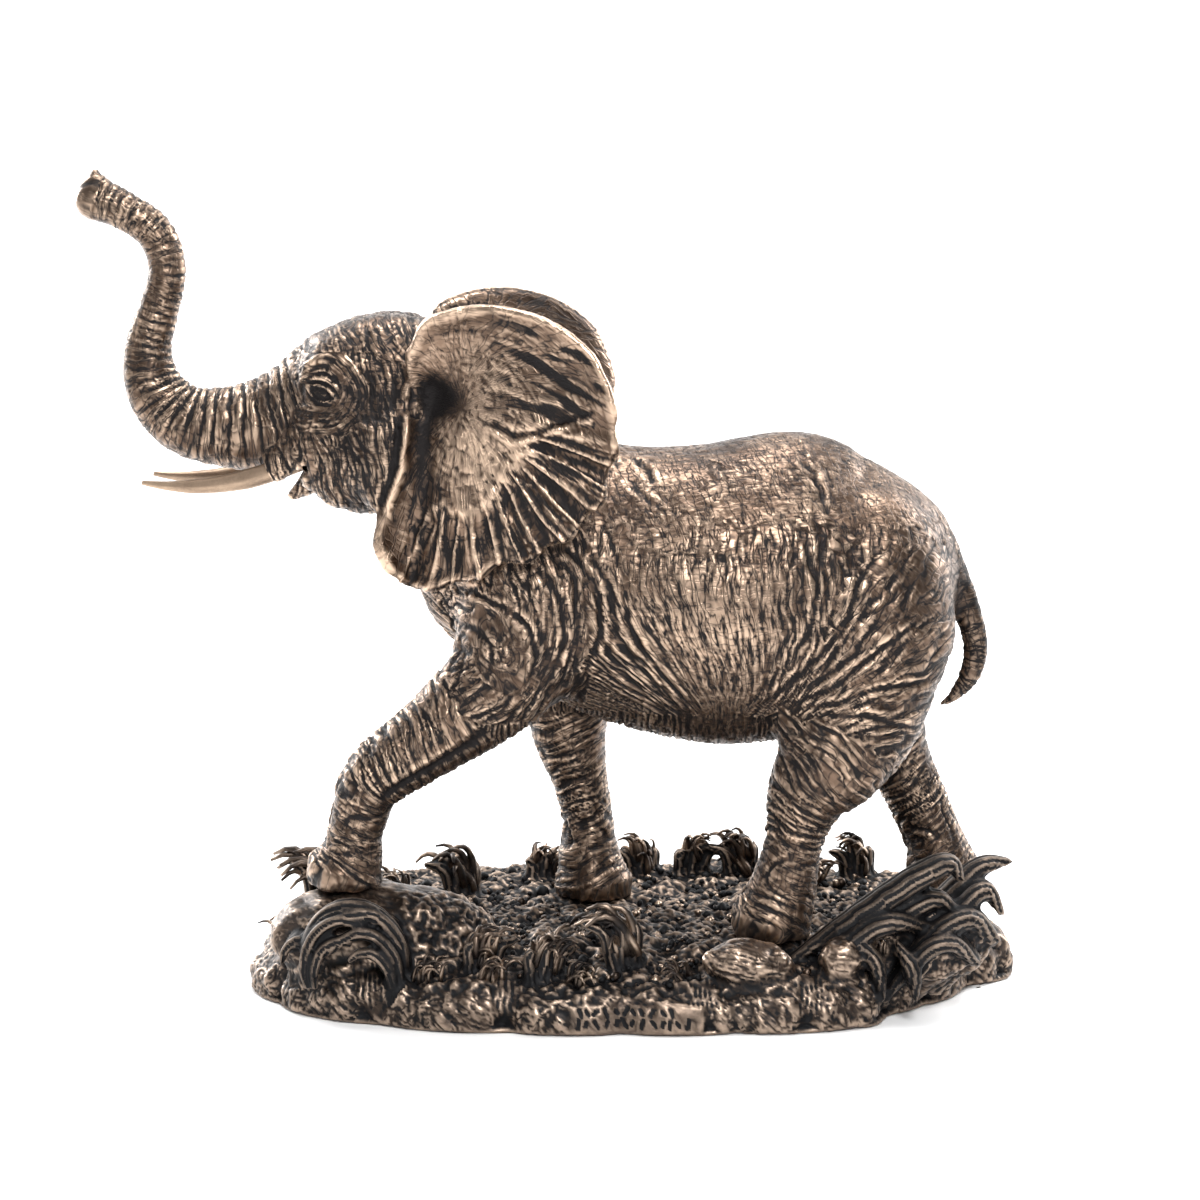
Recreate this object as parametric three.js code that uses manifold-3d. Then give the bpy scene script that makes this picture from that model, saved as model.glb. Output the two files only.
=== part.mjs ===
// A cast elephant striding over rough ground with its trunk raised, made as a desk statue.
// Millimetres, +Z up. The elephant looks along -X and its left side is -Y. The origin is the
// middle of the flat underside of the ground.
import * as THREE from "three";
import Module from "manifold-3d";
import { mergeVertices } from "three/addons/utils/BufferGeometryUtils.js";

const wasm = await Module();
wasm.setup();

// Driving sizes
const figureHeight = 214; // from the soil at the hind feet to the tip of the raised trunk
const groundThickness = 19; // from the underside to the soil at the hind feet
const marginAhead = 16; // ground left ahead of the leading forefoot
const marginBehind = 5; // ground left behind the trailing hind foot
const marginBeside = 23.5; // ground left beside the feet on either side
const edgeDrop = 6; // how far the soil falls towards the near edge
const soleGap = 0.4; // between a sole and the ground under it
const ankleGap = 1.1; // between the ground's carving and the legs
const tuskLength = 47.5; // from the tip to the end inside the lip
const tuskThickness = 6.2; // diameter where a tusk enters the lip
const socketGap = 0.35; // between a tusk and its socket

// Shape of a tusk, as shares of its length and of its thickness
const tuskForward = 0.965; // how far it goes forward
const tuskSag = 0.47; // how steeply it leaves the lip downwards
const tuskLift = 0.32; // how much it bends up again
const tuskInward = 0.04; // how far its tip draws in
const tuskTaper = 0.78; // how much thinner its tip is

// The figure is drawn at this height and then scaled, so its pose and carving are shares of it.
const drawnHeight = 214;
const figureScale = figureHeight / drawnHeight;

// How fine the form is sampled and how many triangles are kept of it
const figureStep = 2;
const groundStep = 1.7;
const figureTriangles = 6000;
const groundTriangles = 2100;
const legRoomTriangles = 700; // of the room that the ground leaves round the legs
const legRoomTop = 30; // height above the soil that this room is formed up to
const tuskSides = 8;
const tuskRings = 8;

const finishes = {
  skin: { color: 0x5b4030, roughness: 0.42, metalness: 0.75 },
  tusk: { color: 0x9a7552, roughness: 0.35, metalness: 0.6 },
  soil: { color: 0x2e2521, roughness: 0.5, metalness: 0.6 }
};

const clamp = THREE.MathUtils.clamp;
const smoothstep = THREE.MathUtils.smoothstep;

// Joins two distances so that the surfaces flow into each other over about the width k.
function blend(a, b, k) {
  const overlap = Math.max(k - Math.abs(a - b), 0) / k;
  return Math.min(a, b) - overlap * overlap * k * 0.25;
}

// Distance to an ellipsoidal section, from offsets along its three half axes.
function sectionDistance(a, b, c, radiusA, radiusB, radiusC) {
  const near = Math.hypot(a / radiusA, b / radiusB, c / radiusC);
  const slope = Math.hypot(a / radiusA ** 2, b / radiusB ** 2, c / radiusC ** 2);
  return slope < 1e-6 ? -Math.min(radiusA, radiusB, radiusC) : (near * (near - 1)) / slope;
}

// A limb follows stations of [x, y, z, half height, half width] along a smooth line.
function limb(stations, soften) {
  const line = new THREE.CatmullRomCurve3(
    stations.map((s) => new THREE.Vector3(s[0], s[1], s[2])), false, "catmullrom", 0.5);
  const girth = new THREE.CatmullRomCurve3(
    stations.map((s) => new THREE.Vector3(s[3], s[4], 0)), false, "catmullrom", 0.5);
  const pieces = (stations.length - 1) * 6;
  const knots = [];
  const box = new THREE.Box3();
  for (let i = 0; i <= pieces; i++) {
    const at = line.getPoint(i / pieces);
    const size = girth.getPoint(i / pieces);
    const reach = Math.max(size.x, size.y);
    knots.push({ at, size });
    box.expandByPoint(at.clone().addScalar(reach));
    box.expandByPoint(at.clone().addScalar(-reach));
  }
  const spans = [];
  for (let i = 0; i < pieces; i++) {
    const along = knots[i + 1].at.clone().sub(knots[i].at);
    const length = along.length();
    along.divideScalar(length);
    const side = new THREE.Vector3(0, 1, 0).addScaledVector(along, -along.y).normalize();
    const up = new THREE.Vector3().crossVectors(along, side);
    spans.push({ from: knots[i], to: knots[i + 1], along, length, side, up });
  }
  const offset = new THREE.Vector3();
  const distance = (x, y, z) => {
    let best = Infinity;
    let chosen = null;
    let share = 0;
    for (const span of spans) {
      const dx = x - span.from.at.x;
      const dy = y - span.from.at.y;
      const dz = z - span.from.at.z;
      const { along, length } = span;
      const t = clamp((dx * along.x + dy * along.y + dz * along.z) / length, 0, 1);
      const reach = t * length;
      const gap = Math.hypot(dx - along.x * reach, dy - along.y * reach, dz - along.z * reach);
      if (gap < best) {
        best = gap;
        chosen = span;
        share = t;
      }
    }
    const high = chosen.from.size.x + (chosen.to.size.x - chosen.from.size.x) * share;
    const wide = chosen.from.size.y + (chosen.to.size.y - chosen.from.size.y) * share;
    offset.set(x, y, z).sub(chosen.from.at).addScaledVector(chosen.along, -share * chosen.length);
    return sectionDistance(offset.dot(chosen.up), offset.dot(chosen.side), offset.dot(chosen.along),
      high, wide, Math.min(high, wide));
  };
  return { box, distance, soften };
}

// A lump is an ellipsoid, tipped by a turn about Y and then about Z, in degrees.
function lump(centre, radii, soften, tip = 0, turn = 0) {
  const middle = new THREE.Vector3(...centre);
  const pose = new THREE.Matrix4()
    .makeRotationZ(THREE.MathUtils.degToRad(turn))
    .multiply(new THREE.Matrix4().makeRotationY(THREE.MathUtils.degToRad(tip)));
  const inverse = pose.clone().transpose();
  const reach = Math.max(...radii);
  const box = new THREE.Box3().setFromCenterAndSize(middle, new THREE.Vector3().setScalar(2 * reach));
  const local = new THREE.Vector3();
  const distance = (x, y, z) => {
    local.set(x, y, z).sub(middle).applyMatrix4(inverse);
    return sectionDistance(local.x, local.y, local.z, ...radii);
  };
  return { box, distance, soften };
}

// A hollow takes a form away with a soft edge.
function hollow(form) {
  return { ...form, away: true };
}

// Mirrors a form to the other flank.
function acrossBody(form) {
  const box = form.box.clone();
  box.min.y = -form.box.max.y;
  box.max.y = -form.box.min.y;
  return { ...form, box, distance: (x, y, z) => form.distance(x, -y, z) };
}

// Ear: a thin dished sheet that leaves the head at its front edge and swings out and back.
const ear = {
  middle: [-38, 142], // in the side view
  root: -62, // where it leaves the head
  rootOut: 25,
  swingOut: 31,
  swingOver: 40,
  thick: 3.6,
  curl: 7, // how far the upper rim rolls out
  rimShare: [0.62, 1.05], // where that roll begins and ends, as shares of the reach
  rollStart: [-0.35, 0.5], // angles between which the roll begins
  rollEnd: [2, 2.7], // angles between which it ends
  frontSlant: 0.3, // how the sheet stands out again ahead of its root
  hole: [-55, 153],
  holeDepth: 5,
  holeWidth: 7,
  ribRun: [16, 40], // distances from the hole between which the ribs rise
  ribHeight: 0.9,
  ribEdge: 1.1, // how far the ribs scallop the outline
  fanStart: [-0.35, 0.1], // angles between which the fan of ribs begins
  fanEnd: [1.3, 1.75], // angles between which it ends
  edgeRound: 1.8,
  low: [-78, -66, 88], // corners of the space round the near ear
  high: [2, -12, 184],
  // Reach from the middle every 15 degrees, from straight back, over the top and round
  reach: [32.5, 33.4, 34.6, 36, 36, 36, 36.4, 37, 37.6, 34, 28.8, 27,
    27, 31, 39.4, 47.4, 50, 42.6, 35.6, 34, 33, 32.8, 33, 32.4],
  ribs: 12
};

function earReach(angle) {
  const turns = (angle / (2 * Math.PI)) * ear.reach.length;
  const place = (turns + ear.reach.length) % ear.reach.length;
  const first = Math.floor(place) % ear.reach.length;
  const second = (first + 1) % ear.reach.length;
  const share = place - Math.floor(place);
  const eased = share * share * (3 - 2 * share);
  return ear.reach[first] * (1 - eased) + ear.reach[second] * eased;
}

// How far the near ear's sheet stands out from the middle of the body, with its rolled upper rim,
// the hollow over the ear hole and the ribs that fan out from there
function earSheet(x, z) {
  const back = x - ear.middle[0];
  const up = z - ear.middle[1];
  const angle = Math.atan2(up, back);
  const fromHole = Math.hypot(x - ear.hole[0], z - ear.hole[1]);
  const rimShare = smoothstep(Math.hypot(back, up) / earReach(angle), ...ear.rimShare);
  const topShare = smoothstep(angle, ...ear.rollStart) * (1 - smoothstep(angle, ...ear.rollEnd));
  return ear.rootOut + ear.swingOut * (1 - Math.exp(-Math.max(x - ear.root, 0) / ear.swingOver))
    + Math.max(ear.root - x, 0) * ear.frontSlant + rimShare * topShare * ear.curl
    - ear.holeDepth * Math.exp(-((fromHole / ear.holeWidth) ** 2))
    + earRib(x, z) * smoothstep(fromHole, ...ear.ribRun) * ear.ribHeight;
}

function earRib(x, z) {
  const fan = Math.atan2(x - ear.hole[0], ear.hole[1] - z);
  const share = smoothstep(fan, ...ear.fanStart) * (1 - smoothstep(fan, ...ear.fanEnd));
  return Math.cos(2 * fan * ear.ribs) * share;
}

function earForm(soften) {
  const apart = 0.5; // between the places that the sheet's slope is taken from
  const edgeSlope = 0.9; // the outline's distance is a little less steep than the true one
  const distance = (x, y, z) => {
    const back = x - ear.middle[0];
    const up = z - ear.middle[1];
    const outline = earReach(Math.atan2(up, back)) + earRib(x, z) * ear.ribEdge;
    const out = earSheet(x, z);
    const slopeX = (earSheet(x + apart, z) - out) / apart;
    const slopeZ = (earSheet(x, z + apart) - out) / apart;
    const slope = Math.hypot(1, slopeX, slopeZ);
    const through = Math.abs(-y - out) / slope - ear.thick / 2;
    const across = (Math.hypot(back, up) - outline) * edgeSlope;
    return -blend(-through, -across, ear.edgeRound);
  };
  const box = new THREE.Box3(new THREE.Vector3(...ear.low), new THREE.Vector3(...ear.high));
  return { box, distance, soften };
}

// Where each foot stands: [x, y, how far its sole is above the soil]
const feet = {
  nearFront: [-81.5, -24.5, 14.7],
  farFront: [-12.2, 22, 0.4],
  nearHind: [38.5, -25, 0],
  farHind: [92.5, 24, 1]
};
const soleRadius = 12.5;

function footStation(foot, rise, high, wide) {
  return [foot[0], foot[1], foot[2] + rise, high, wide];
}

const eyeForms = [
  lump([-86, -17.2, 161.5], [8.5, 5.2, 4.6], 4, -28),
  lump([-87.6, -18.6, 153.4], [4.4, 3.6, 3.5], 1.2),
  lump([-86.5, -19.5, 148.8], [5.5, 2.6, 1.7], 1.6, 12)
];

// Cheek, brow and the collar that the tusk comes out of, on the near side of the head
const flankForms = [
  lump([-78, -15.5, 137], [17, 11, 18], 8),
  lump([-70, -10.5, 158.5], [15.5, 12, 15], 8),
  lump([-82, -12, 158], [9, 9, 11], 8),
  limb([[-80, -14.5, 142, 10, 8], [-90, -13.6, 135.5, 7.4, 7], [-99.5, -13, 131.6, 5.2, 5.2]], 5),
  lump([-68, -26, 136], [11, 7, 15], 6)
];

// The four legs, each from deep in the body down to its foot
const legForms = [
  limb([[-26, -20, 92, 23, 17], [-39, -24, 72.5, 16, 14.5], [-56, -25, 58, 11.8, 12.5],
    [-72.8, -25, 45.6, 9.8, 11.5], [-78, -24.5, 33, 8.2, 10], [-79.8, -24.5, 24, 9, 10.6],
    footStation(feet.nearFront, 4.6, 11.4, soleRadius)], 7),
  limb([[-22, 19, 88, 20, 16], [-20, 21, 62, 13.6, 13], [-18.8, 22, 48, 11, 11.4],
    [-15.8, 22, 35, 8.4, 9.8], [-13.6, 22, 22, 8, 9.8], [-13.3, 22, 12, 9.6, 11.2],
    footStation(feet.farFront, 4, 12, soleRadius)], 7),
  limb([[64, -17, 86, 25, 18], [60, -22, 64, 21, 16.5], [54.5, -25, 51, 16.6, 15],
    [47.8, -25, 40, 11.6, 12.5], [44.4, -25, 28, 8.7, 10.5], [41.8, -25, 15, 9.5, 11],
    footStation(feet.nearHind, 5, 12, soleRadius)], 7),
  limb([[65, 16, 82, 23, 17], [71, 21, 60, 15.5, 14.5], [76.6, 24, 44, 10.6, 12],
    [83, 24, 31, 9.2, 10.5], [88.8, 24, 17, 9.1, 10.8],
    footStation(feet.farHind, 4, 12, soleRadius)], 7)
];

const figureForms = [
  // Trunk of the body, from the chest to the rump
  limb([[-36, 0, 102, 27, 26], [-17, 0, 100, 36.5, 32], [5, 0, 95.6, 41, 36.5], [27, 0, 93.8, 43.3, 38.5],
    [48, 0, 96.2, 41.4, 36], [62, 0, 95.5, 34, 29.5]], 7),
  lump([47, 0, 119], [24, 15, 18], 12, 6),
  lump([73, 0, 103], [16, 15, 19], 9),
  // Neck and head
  limb([[-66, 0, 144, 25, 23], [-50, 0, 134, 26, 24], [-32, 0, 116, 29, 27]], 10),
  lump([-66, 0, 145], [26, 25, 27.5], 7),
  // Raised trunk
  limb([[-151.6, 0, 205.6, 6, 6], [-144.6, 0, 203.1, 5.7, 5.7], [-135, 0, 196.5, 5.5, 5.7],
    [-131.7, 0, 186, 5.4, 5.8], [-134.5, 0, 174.5, 6, 6.4], [-137.6, 0, 163, 6.9, 7.2],
    [-135.5, 0, 151.8, 8.6, 8.6], [-127, 0, 143.6, 10.2, 10], [-113, 0, 141.6, 12.2, 11.6],
    [-98, 0, 143.5, 16, 14.5], [-83, 0, 149, 21, 18]], 7),
  limb([[-149, 0, 208, 3, 4], [-151, 0, 211, 2.1, 2.8], [-151.6, 0, 213, 1.2, 1.6]], 2),
  // Lower lip
  limb([[-66, 0, 131, 12, 12], [-84, 0, 126.3, 5, 7.5], [-92, 0, 125, 3.2, 4.6],
    [-95.8, 0, 122.8, 1.7, 2.4]], 3),
  // Shoulders and haunches over the legs
  lump([-27, -21, 100], [19, 14, 27], 8, -18),
  lump([-25, 21, 98], [19, 13, 26], 8, -10),
  lump([63, -17, 90], [23, 18.5, 34], 8, 10),
  lump([64, 17, 88], [22, 17.5, 32], 8, -8),
  ...legForms,
  // Head and face, the same on both flanks
  ...flankForms,
  ...flankForms.map(acrossBody),
  earForm(3.5),
  acrossBody(earForm(3.5)),
  hollow(lump([-73, -29.5, 156], [8, 4.2, 9], 4, 20)),
  hollow(acrossBody(lump([-73, -29.5, 156], [8, 4.2, 9], 4, 20))),
  ...eyeForms,
  ...eyeForms.map(acrossBody),
  // Open tip of the trunk
  hollow(limb([[-163, 0, 207.4, 3.4, 3], [-156, 0, 206.4, 2.7, 2.4], [-150, 0, 204.6, 1.7, 1.5]], 1)),
  // Tail, curling away from the rump
  limb([[82, 0, 112, 6, 7], [88, 0, 105, 4.8, 5.4], [92.6, 0, 96, 4.2, 4.2], [95.8, 0, 87, 3.9, 3.9],
    [97.6, 0, 77.5, 3.8, 3.6], [95.6, 0, 69.5, 3.2, 3], [91, 0, 63.8, 1.9, 1.8],
    [87.8, 0, 61.8, 1, 1]], 3)
];

// Samples the joined forms on a grid. Every form only touches the samples that it can reach.
function sample(forms, step, grow = 0, ceiling = Infinity) {
  const box = new THREE.Box3();
  for (const form of forms) {
    if (!form.away) {
      box.union(form.box);
    }
  }
  box.expandByScalar(3 * step + grow);
  const start = box.min;
  const count = box.max.clone().sub(box.min).divideScalar(step).ceil().addScalar(1);
  const values = new Float32Array(count.x * count.y * count.z).fill(1e3);
  for (const form of forms) {
    const reach = form.soften + 2 * step + grow;
    const low = form.box.min.clone().addScalar(-reach).sub(start).divideScalar(step).ceil();
    const high = form.box.max.clone().addScalar(reach).sub(start).divideScalar(step).floor();
    low.clampScalar(0, Infinity);
    high.min(count.clone().addScalar(-1));
    high.z = Math.min(high.z, Math.floor((ceiling - start.z) / step));
    for (let k = low.z; k <= high.z; k++) {
      for (let j = low.y; j <= high.y; j++) {
        for (let i = low.x; i <= high.x; i++) {
          const cell = i + count.x * (j + count.y * k);
          const away = form.distance(start.x + i * step, start.y + j * step, start.z + k * step);
          values[cell] = form.away
            ? -blend(-values[cell], away, form.soften)
            : blend(values[cell], away, form.soften);
        }
      }
    }
  }
  for (let cell = 0; cell < values.length; cell++) {
    values[cell] -= grow;
  }
  return { values, start, count, step };
}

// Every cube of samples is split into six tetrahedra around its long diagonal.
const cubeCorners = [[0, 0, 0], [1, 0, 0], [1, 1, 0], [0, 1, 0], [0, 0, 1], [1, 0, 1], [1, 1, 1], [0, 1, 1]];
const cubeSplit = [[0, 5, 1, 6], [0, 1, 2, 6], [0, 2, 3, 6], [0, 3, 7, 6], [0, 7, 4, 6], [0, 4, 5, 6]];
const cornerFirst = [[0, 1, 2, 3], [1, 0, 3, 2], [2, 0, 1, 3], [3, 0, 2, 1]];
const pairFirst = [[0, 1, 2, 3], [0, 2, 3, 1], [0, 3, 1, 2], [1, 2, 0, 3], [1, 3, 2, 0], [2, 3, 0, 1]];

// The surface where the sampled distance is nought, as shared points and triangles facing out.
function surface(field) {
  const { values, start, count, step } = field;
  const points = [];
  const triangles = [];
  const known = new Map();
  const least = 0.1 * step;
  const valueAt = (cell) => {
    const value = values[cell];
    return Math.abs(value) < least ? Math.sign(value || 1) * least : value;
  };
  const crossing = (a, b) => {
    const low = Math.min(a, b);
    const high = Math.max(a, b);
    const key = low * 16777216 + (high - low);
    if (known.has(key)) {
      return known.get(key);
    }
    const share = valueAt(low) / (valueAt(low) - valueAt(high));
    const place = (cell, axis) => [
      cell % count.x, Math.floor(cell / count.x) % count.y, Math.floor(cell / (count.x * count.y))][axis];
    for (let axis = 0; axis < 3; axis++) {
      const from = place(low, axis);
      const to = place(high, axis);
      points.push(start.getComponent(axis) + (from + (to - from) * share) * step);
    }
    known.set(key, points.length / 3 - 1);
    return points.length / 3 - 1;
  };
  const steps = cubeCorners.map(([i, j, k]) => i + count.x * (j + count.y * k));
  for (let k = 0; k < count.z - 1; k++) {
    for (let j = 0; j < count.y - 1; j++) {
      for (let i = 0; i < count.x - 1; i++) {
        const base = i + count.x * (j + count.y * k);
        const cells = steps.map((offset) => base + offset);
        const within = cells.map((cell) => valueAt(cell) < 0);
        const filled = within.filter(Boolean).length;
        if (filled === 0 || filled === 8) {
          continue;
        }
        for (const split of cubeSplit) {
          const inside = [0, 1, 2, 3].filter((n) => within[split[n]]);
          if (inside.length === 0 || inside.length === 4) {
            continue;
          }
          if (inside.length === 2) {
            const order = pairFirst.find((o) => inside.includes(o[0]) && inside.includes(o[1]));
            const [a, b, c, d] = order.map((n) => cells[split[n]]);
            const corners = [crossing(a, c), crossing(a, d), crossing(b, d), crossing(b, c)];
            triangles.push(corners[0], corners[1], corners[2], corners[0], corners[2], corners[3]);
            continue;
          }
          const lone = inside.length === 1 ? inside[0] : [0, 1, 2, 3].find((n) => !inside.includes(n));
          const [a, b, c, d] = cornerFirst[lone].map((n) => cells[split[n]]);
          const corners = [crossing(a, b), crossing(a, c), crossing(a, d)];
          if (inside.length === 3) {
            corners.reverse();
          }
          triangles.push(...corners);
        }
      }
    }
  }
  return { points: Float64Array.from(points), triangles: Int32Array.from(triangles) };
}

// A heap of edges, the cheapest one on top
class EdgeHeap {
  constructor() {
    this.items = [];
  }
  push(item) {
    const items = this.items;
    let at = items.length;
    items.push(item);
    while (at > 0) {
      const parent = (at - 1) >> 1;
      if (items[parent].cost <= item.cost) {
        break;
      }
      items[at] = items[parent];
      at = parent;
    }
    items[at] = item;
  }
  pop() {
    const items = this.items;
    const top = items[0];
    const last = items.pop();
    if (items.length > 0) {
      let at = 0;
      for (;;) {
        let child = 2 * at + 1;
        if (child >= items.length) {
          break;
        }
        if (child + 1 < items.length && items[child + 1].cost < items[child].cost) {
          child++;
        }
        if (items[child].cost >= last.cost) {
          break;
        }
        items[at] = items[child];
        at = child;
      }
      items[at] = last;
    }
    return top;
  }
}

// Folds short and flat edges away, the ones that change the form least first, until only the
// wanted number of triangles is left. Each point carries the sum of the squared distances to the
// planes around it as ten numbers.
function thinOut(mesh, wanted) {
  const { points, triangles } = mesh;
  const pointCount = points.length / 3;
  const planes = new Float64Array(pointCount * 10);
  const around = Array.from({ length: pointCount }, () => []);
  const alive = new Uint8Array(triangles.length / 3).fill(1);
  const stamps = new Int32Array(pointCount);
  const marks = new Int32Array(pointCount);
  const normal = [0, 0, 0];
  let mark = 0;
  let left = alive.length;

  const setNormal = (ax, ay, az, bx, by, bz, cx, cy, cz) => {
    normal[0] = (by - ay) * (cz - az) - (bz - az) * (cy - ay);
    normal[1] = (bz - az) * (cx - ax) - (bx - ax) * (cz - az);
    normal[2] = (bx - ax) * (cy - ay) - (by - ay) * (cx - ax);
    return Math.sqrt(normal[0] * normal[0] + normal[1] * normal[1] + normal[2] * normal[2]);
  };

  for (let t = 0; t < alive.length; t++) {
    const a = 3 * triangles[3 * t];
    const b = 3 * triangles[3 * t + 1];
    const c = 3 * triangles[3 * t + 2];
    const size = setNormal(points[a], points[a + 1], points[a + 2], points[b], points[b + 1], points[b + 2],
      points[c], points[c + 1], points[c + 2]);
    const nx = normal[0] / (size || 1);
    const ny = normal[1] / (size || 1);
    const nz = normal[2] / (size || 1);
    const nw = -(nx * points[a] + ny * points[a + 1] + nz * points[a + 2]);
    const plane = [nx * nx, nx * ny, nx * nz, nx * nw, ny * ny, ny * nz, ny * nw, nz * nz, nz * nw, nw * nw];
    for (let n = 0; n < 3; n++) {
      const corner = triangles[3 * t + n];
      around[corner].push(t);
      for (let m = 0; m < 10; m++) {
        planes[corner * 10 + m] += plane[m] * size;
      }
    }
  }

  const q = new Float64Array(10);
  const costAt = (x, y, z) => q[0] * x * x + 2 * q[1] * x * y + 2 * q[2] * x * z + 2 * q[3] * x
    + q[4] * y * y + 2 * q[5] * y * z + 2 * q[6] * y + q[7] * z * z + 2 * q[8] * z + q[9];

  // The best place for the point that an edge folds into, and what the fold costs
  const priceOf = (a, b) => {
    for (let n = 0; n < 10; n++) {
      q[n] = planes[a * 10 + n] + planes[b * 10 + n];
    }
    const ax = points[3 * a];
    const ay = points[3 * a + 1];
    const az = points[3 * a + 2];
    const bx = points[3 * b];
    const by = points[3 * b + 1];
    const bz = points[3 * b + 2];
    let x = (ax + bx) / 2;
    let y = (ay + by) / 2;
    let z = (az + bz) / 2;
    const lengthSquared = (ax - bx) ** 2 + (ay - by) ** 2 + (az - bz) ** 2;
    const fold = { a, b, x, y, z, cost: costAt(x, y, z), stamp: stamps[a] + stamps[b] };
    const offer = (px, py, pz) => {
      const cost = costAt(px, py, pz);
      if (cost < fold.cost) {
        fold.x = px;
        fold.y = py;
        fold.z = pz;
        fold.cost = cost;
      }
    };
    offer(ax, ay, az);
    offer(bx, by, bz);
    const minorA = q[4] * q[7] - q[5] * q[5];
    const minorB = q[2] * q[5] - q[1] * q[7];
    const minorC = q[1] * q[5] - q[2] * q[4];
    const minorD = q[1] * q[2] - q[0] * q[5];
    const volume = q[0] * minorA + q[1] * minorB + q[2] * minorC;
    if (volume > 1e-3 * (q[0] + q[4] + q[7]) ** 3 / 27) {
      const bestX = -(q[3] * minorA + q[6] * minorB + q[8] * minorC) / volume;
      const bestY = -(q[3] * minorB + q[6] * (q[0] * q[7] - q[2] * q[2]) + q[8] * minorD) / volume;
      const bestZ = -(q[3] * minorC + q[6] * minorD + q[8] * (q[0] * q[4] - q[1] * q[1])) / volume;
      x -= bestX;
      y -= bestY;
      z -= bestZ;
      if (x * x + y * y + z * z < lengthSquared) {
        offer(bestX, bestY, bestZ);
      }
    }
    fold.cost = Math.max(fold.cost, 0) + 1e-4 * lengthSquared;
    return fold;
  };

  const neighbours = (a) => {
    const found = [];
    mark++;
    marks[a] = mark;
    for (const t of around[a]) {
      for (let n = 0; n < 3; n++) {
        const c = triangles[3 * t + n];
        if (marks[c] !== mark) {
          marks[c] = mark;
          found.push(c);
        }
      }
    }
    return found;
  };

  // A fold may not turn a triangle over or squeeze it to a sliver.
  const corner = new Float64Array(9);
  const longestSide = () => {
    let longest = 1e-12;
    for (let n = 0; n < 3; n++) {
      const m = (n + 1) % 3;
      longest = Math.max(longest, (corner[3 * n] - corner[3 * m]) ** 2
        + (corner[3 * n + 1] - corner[3 * m + 1]) ** 2 + (corner[3 * n + 2] - corner[3 * m + 2]) ** 2);
    }
    return longest;
  };
  const turnsOver = (moved, other, fold) => {
    for (const t of around[moved]) {
      let at = -1;
      let shared = false;
      for (let n = 0; n < 3; n++) {
        const c = triangles[3 * t + n];
        shared = shared || c === other;
        at = c === moved ? n : at;
        corner[3 * n] = points[3 * c];
        corner[3 * n + 1] = points[3 * c + 1];
        corner[3 * n + 2] = points[3 * c + 2];
      }
      if (shared) {
        continue;
      }
      const wasSize = setNormal(...corner);
      const wasX = normal[0];
      const wasY = normal[1];
      const wasZ = normal[2];
      const wasShape = wasSize / longestSide();
      corner[3 * at] = fold.x;
      corner[3 * at + 1] = fold.y;
      corner[3 * at + 2] = fold.z;
      const size = setNormal(...corner);
      const facing = wasX * normal[0] + wasY * normal[1] + wasZ * normal[2];
      const shape = size / longestSide();
      if (facing < 0.25 * wasSize * size || shape < Math.min(0.12, 0.9 * wasShape)) {
        return true;
      }
    }
    return false;
  };

  const heap = new EdgeHeap();
  for (let a = 0; a < pointCount; a++) {
    for (const b of neighbours(a)) {
      if (a < b) {
        heap.push(priceOf(a, b));
      }
    }
  }
  while (left > wanted && heap.items.length > 0) {
    const fold = heap.pop();
    const { a, b } = fold;
    if (around[a].length === 0 || around[b].length === 0 || fold.stamp !== stamps[a] + stamps[b]) {
      continue;
    }
    const besideB = neighbours(b);
    neighbours(a);
    if (marks[b] !== mark) {
      continue;
    }
    const shared = besideB.filter((c) => c !== a && marks[c] === mark).length;
    if (shared !== 2 || turnsOver(a, b, fold) || turnsOver(b, a, fold)) {
      continue;
    }
    points[3 * a] = fold.x;
    points[3 * a + 1] = fold.y;
    points[3 * a + 2] = fold.z;
    for (let n = 0; n < 10; n++) {
      planes[a * 10 + n] += planes[b * 10 + n];
    }
    for (const t of around[b]) {
      const corners = [triangles[3 * t], triangles[3 * t + 1], triangles[3 * t + 2]];
      if (corners.includes(a)) {
        alive[t] = 0;
        left--;
        for (const c of corners) {
          if (c !== b) {
            around[c].splice(around[c].indexOf(t), 1);
          }
        }
      } else {
        triangles[3 * t + corners.indexOf(b)] = a;
        around[a].push(t);
      }
    }
    around[b] = [];
    stamps[a]++;
    stamps[b] = -1e8;
    for (const c of neighbours(a)) {
      heap.push(priceOf(a, c));
    }
  }
  const kept = [];
  for (let t = 0; t < alive.length; t++) {
    if (alive[t]) {
      kept.push(triangles[3 * t], triangles[3 * t + 1], triangles[3 * t + 2]);
    }
  }
  return { points, triangles: Int32Array.from(kept) };
}

function geometryOf(mesh) {
  const geometry = new THREE.BufferGeometry();
  geometry.setAttribute("position", new THREE.BufferAttribute(Float32Array.from(mesh.points), 3));
  geometry.setIndex(new THREE.BufferAttribute(Uint32Array.from(mesh.triangles), 1));
  return geometry;
}

function solidOf(geometry) {
  const bare = geometry.clone();
  bare.deleteAttribute("normal");
  bare.deleteAttribute("uv");
  const welded = mergeVertices(bare, 1e-5);
  return new wasm.Manifold(new wasm.Mesh({
    numProp: 3,
    vertProperties: Float32Array.from(welded.attributes.position.array),
    triVerts: Uint32Array.from(welded.index.array)
  }));
}

// Small crumbs that a cut leaves behind are dropped: only the largest body is the piece.
function geometryFrom(solid) {
  const bodies = solid.decompose();
  bodies.sort((a, b) => b.volume() - a.volume());
  const { vertProperties, triVerts } = bodies[0].getMesh();
  const geometry = new THREE.BufferGeometry();
  geometry.setAttribute("position", new THREE.BufferAttribute(Float32Array.from(vertProperties), 3));
  geometry.setIndex(new THREE.BufferAttribute(Uint32Array.from(triVerts), 1));
  return geometry;
}

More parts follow.
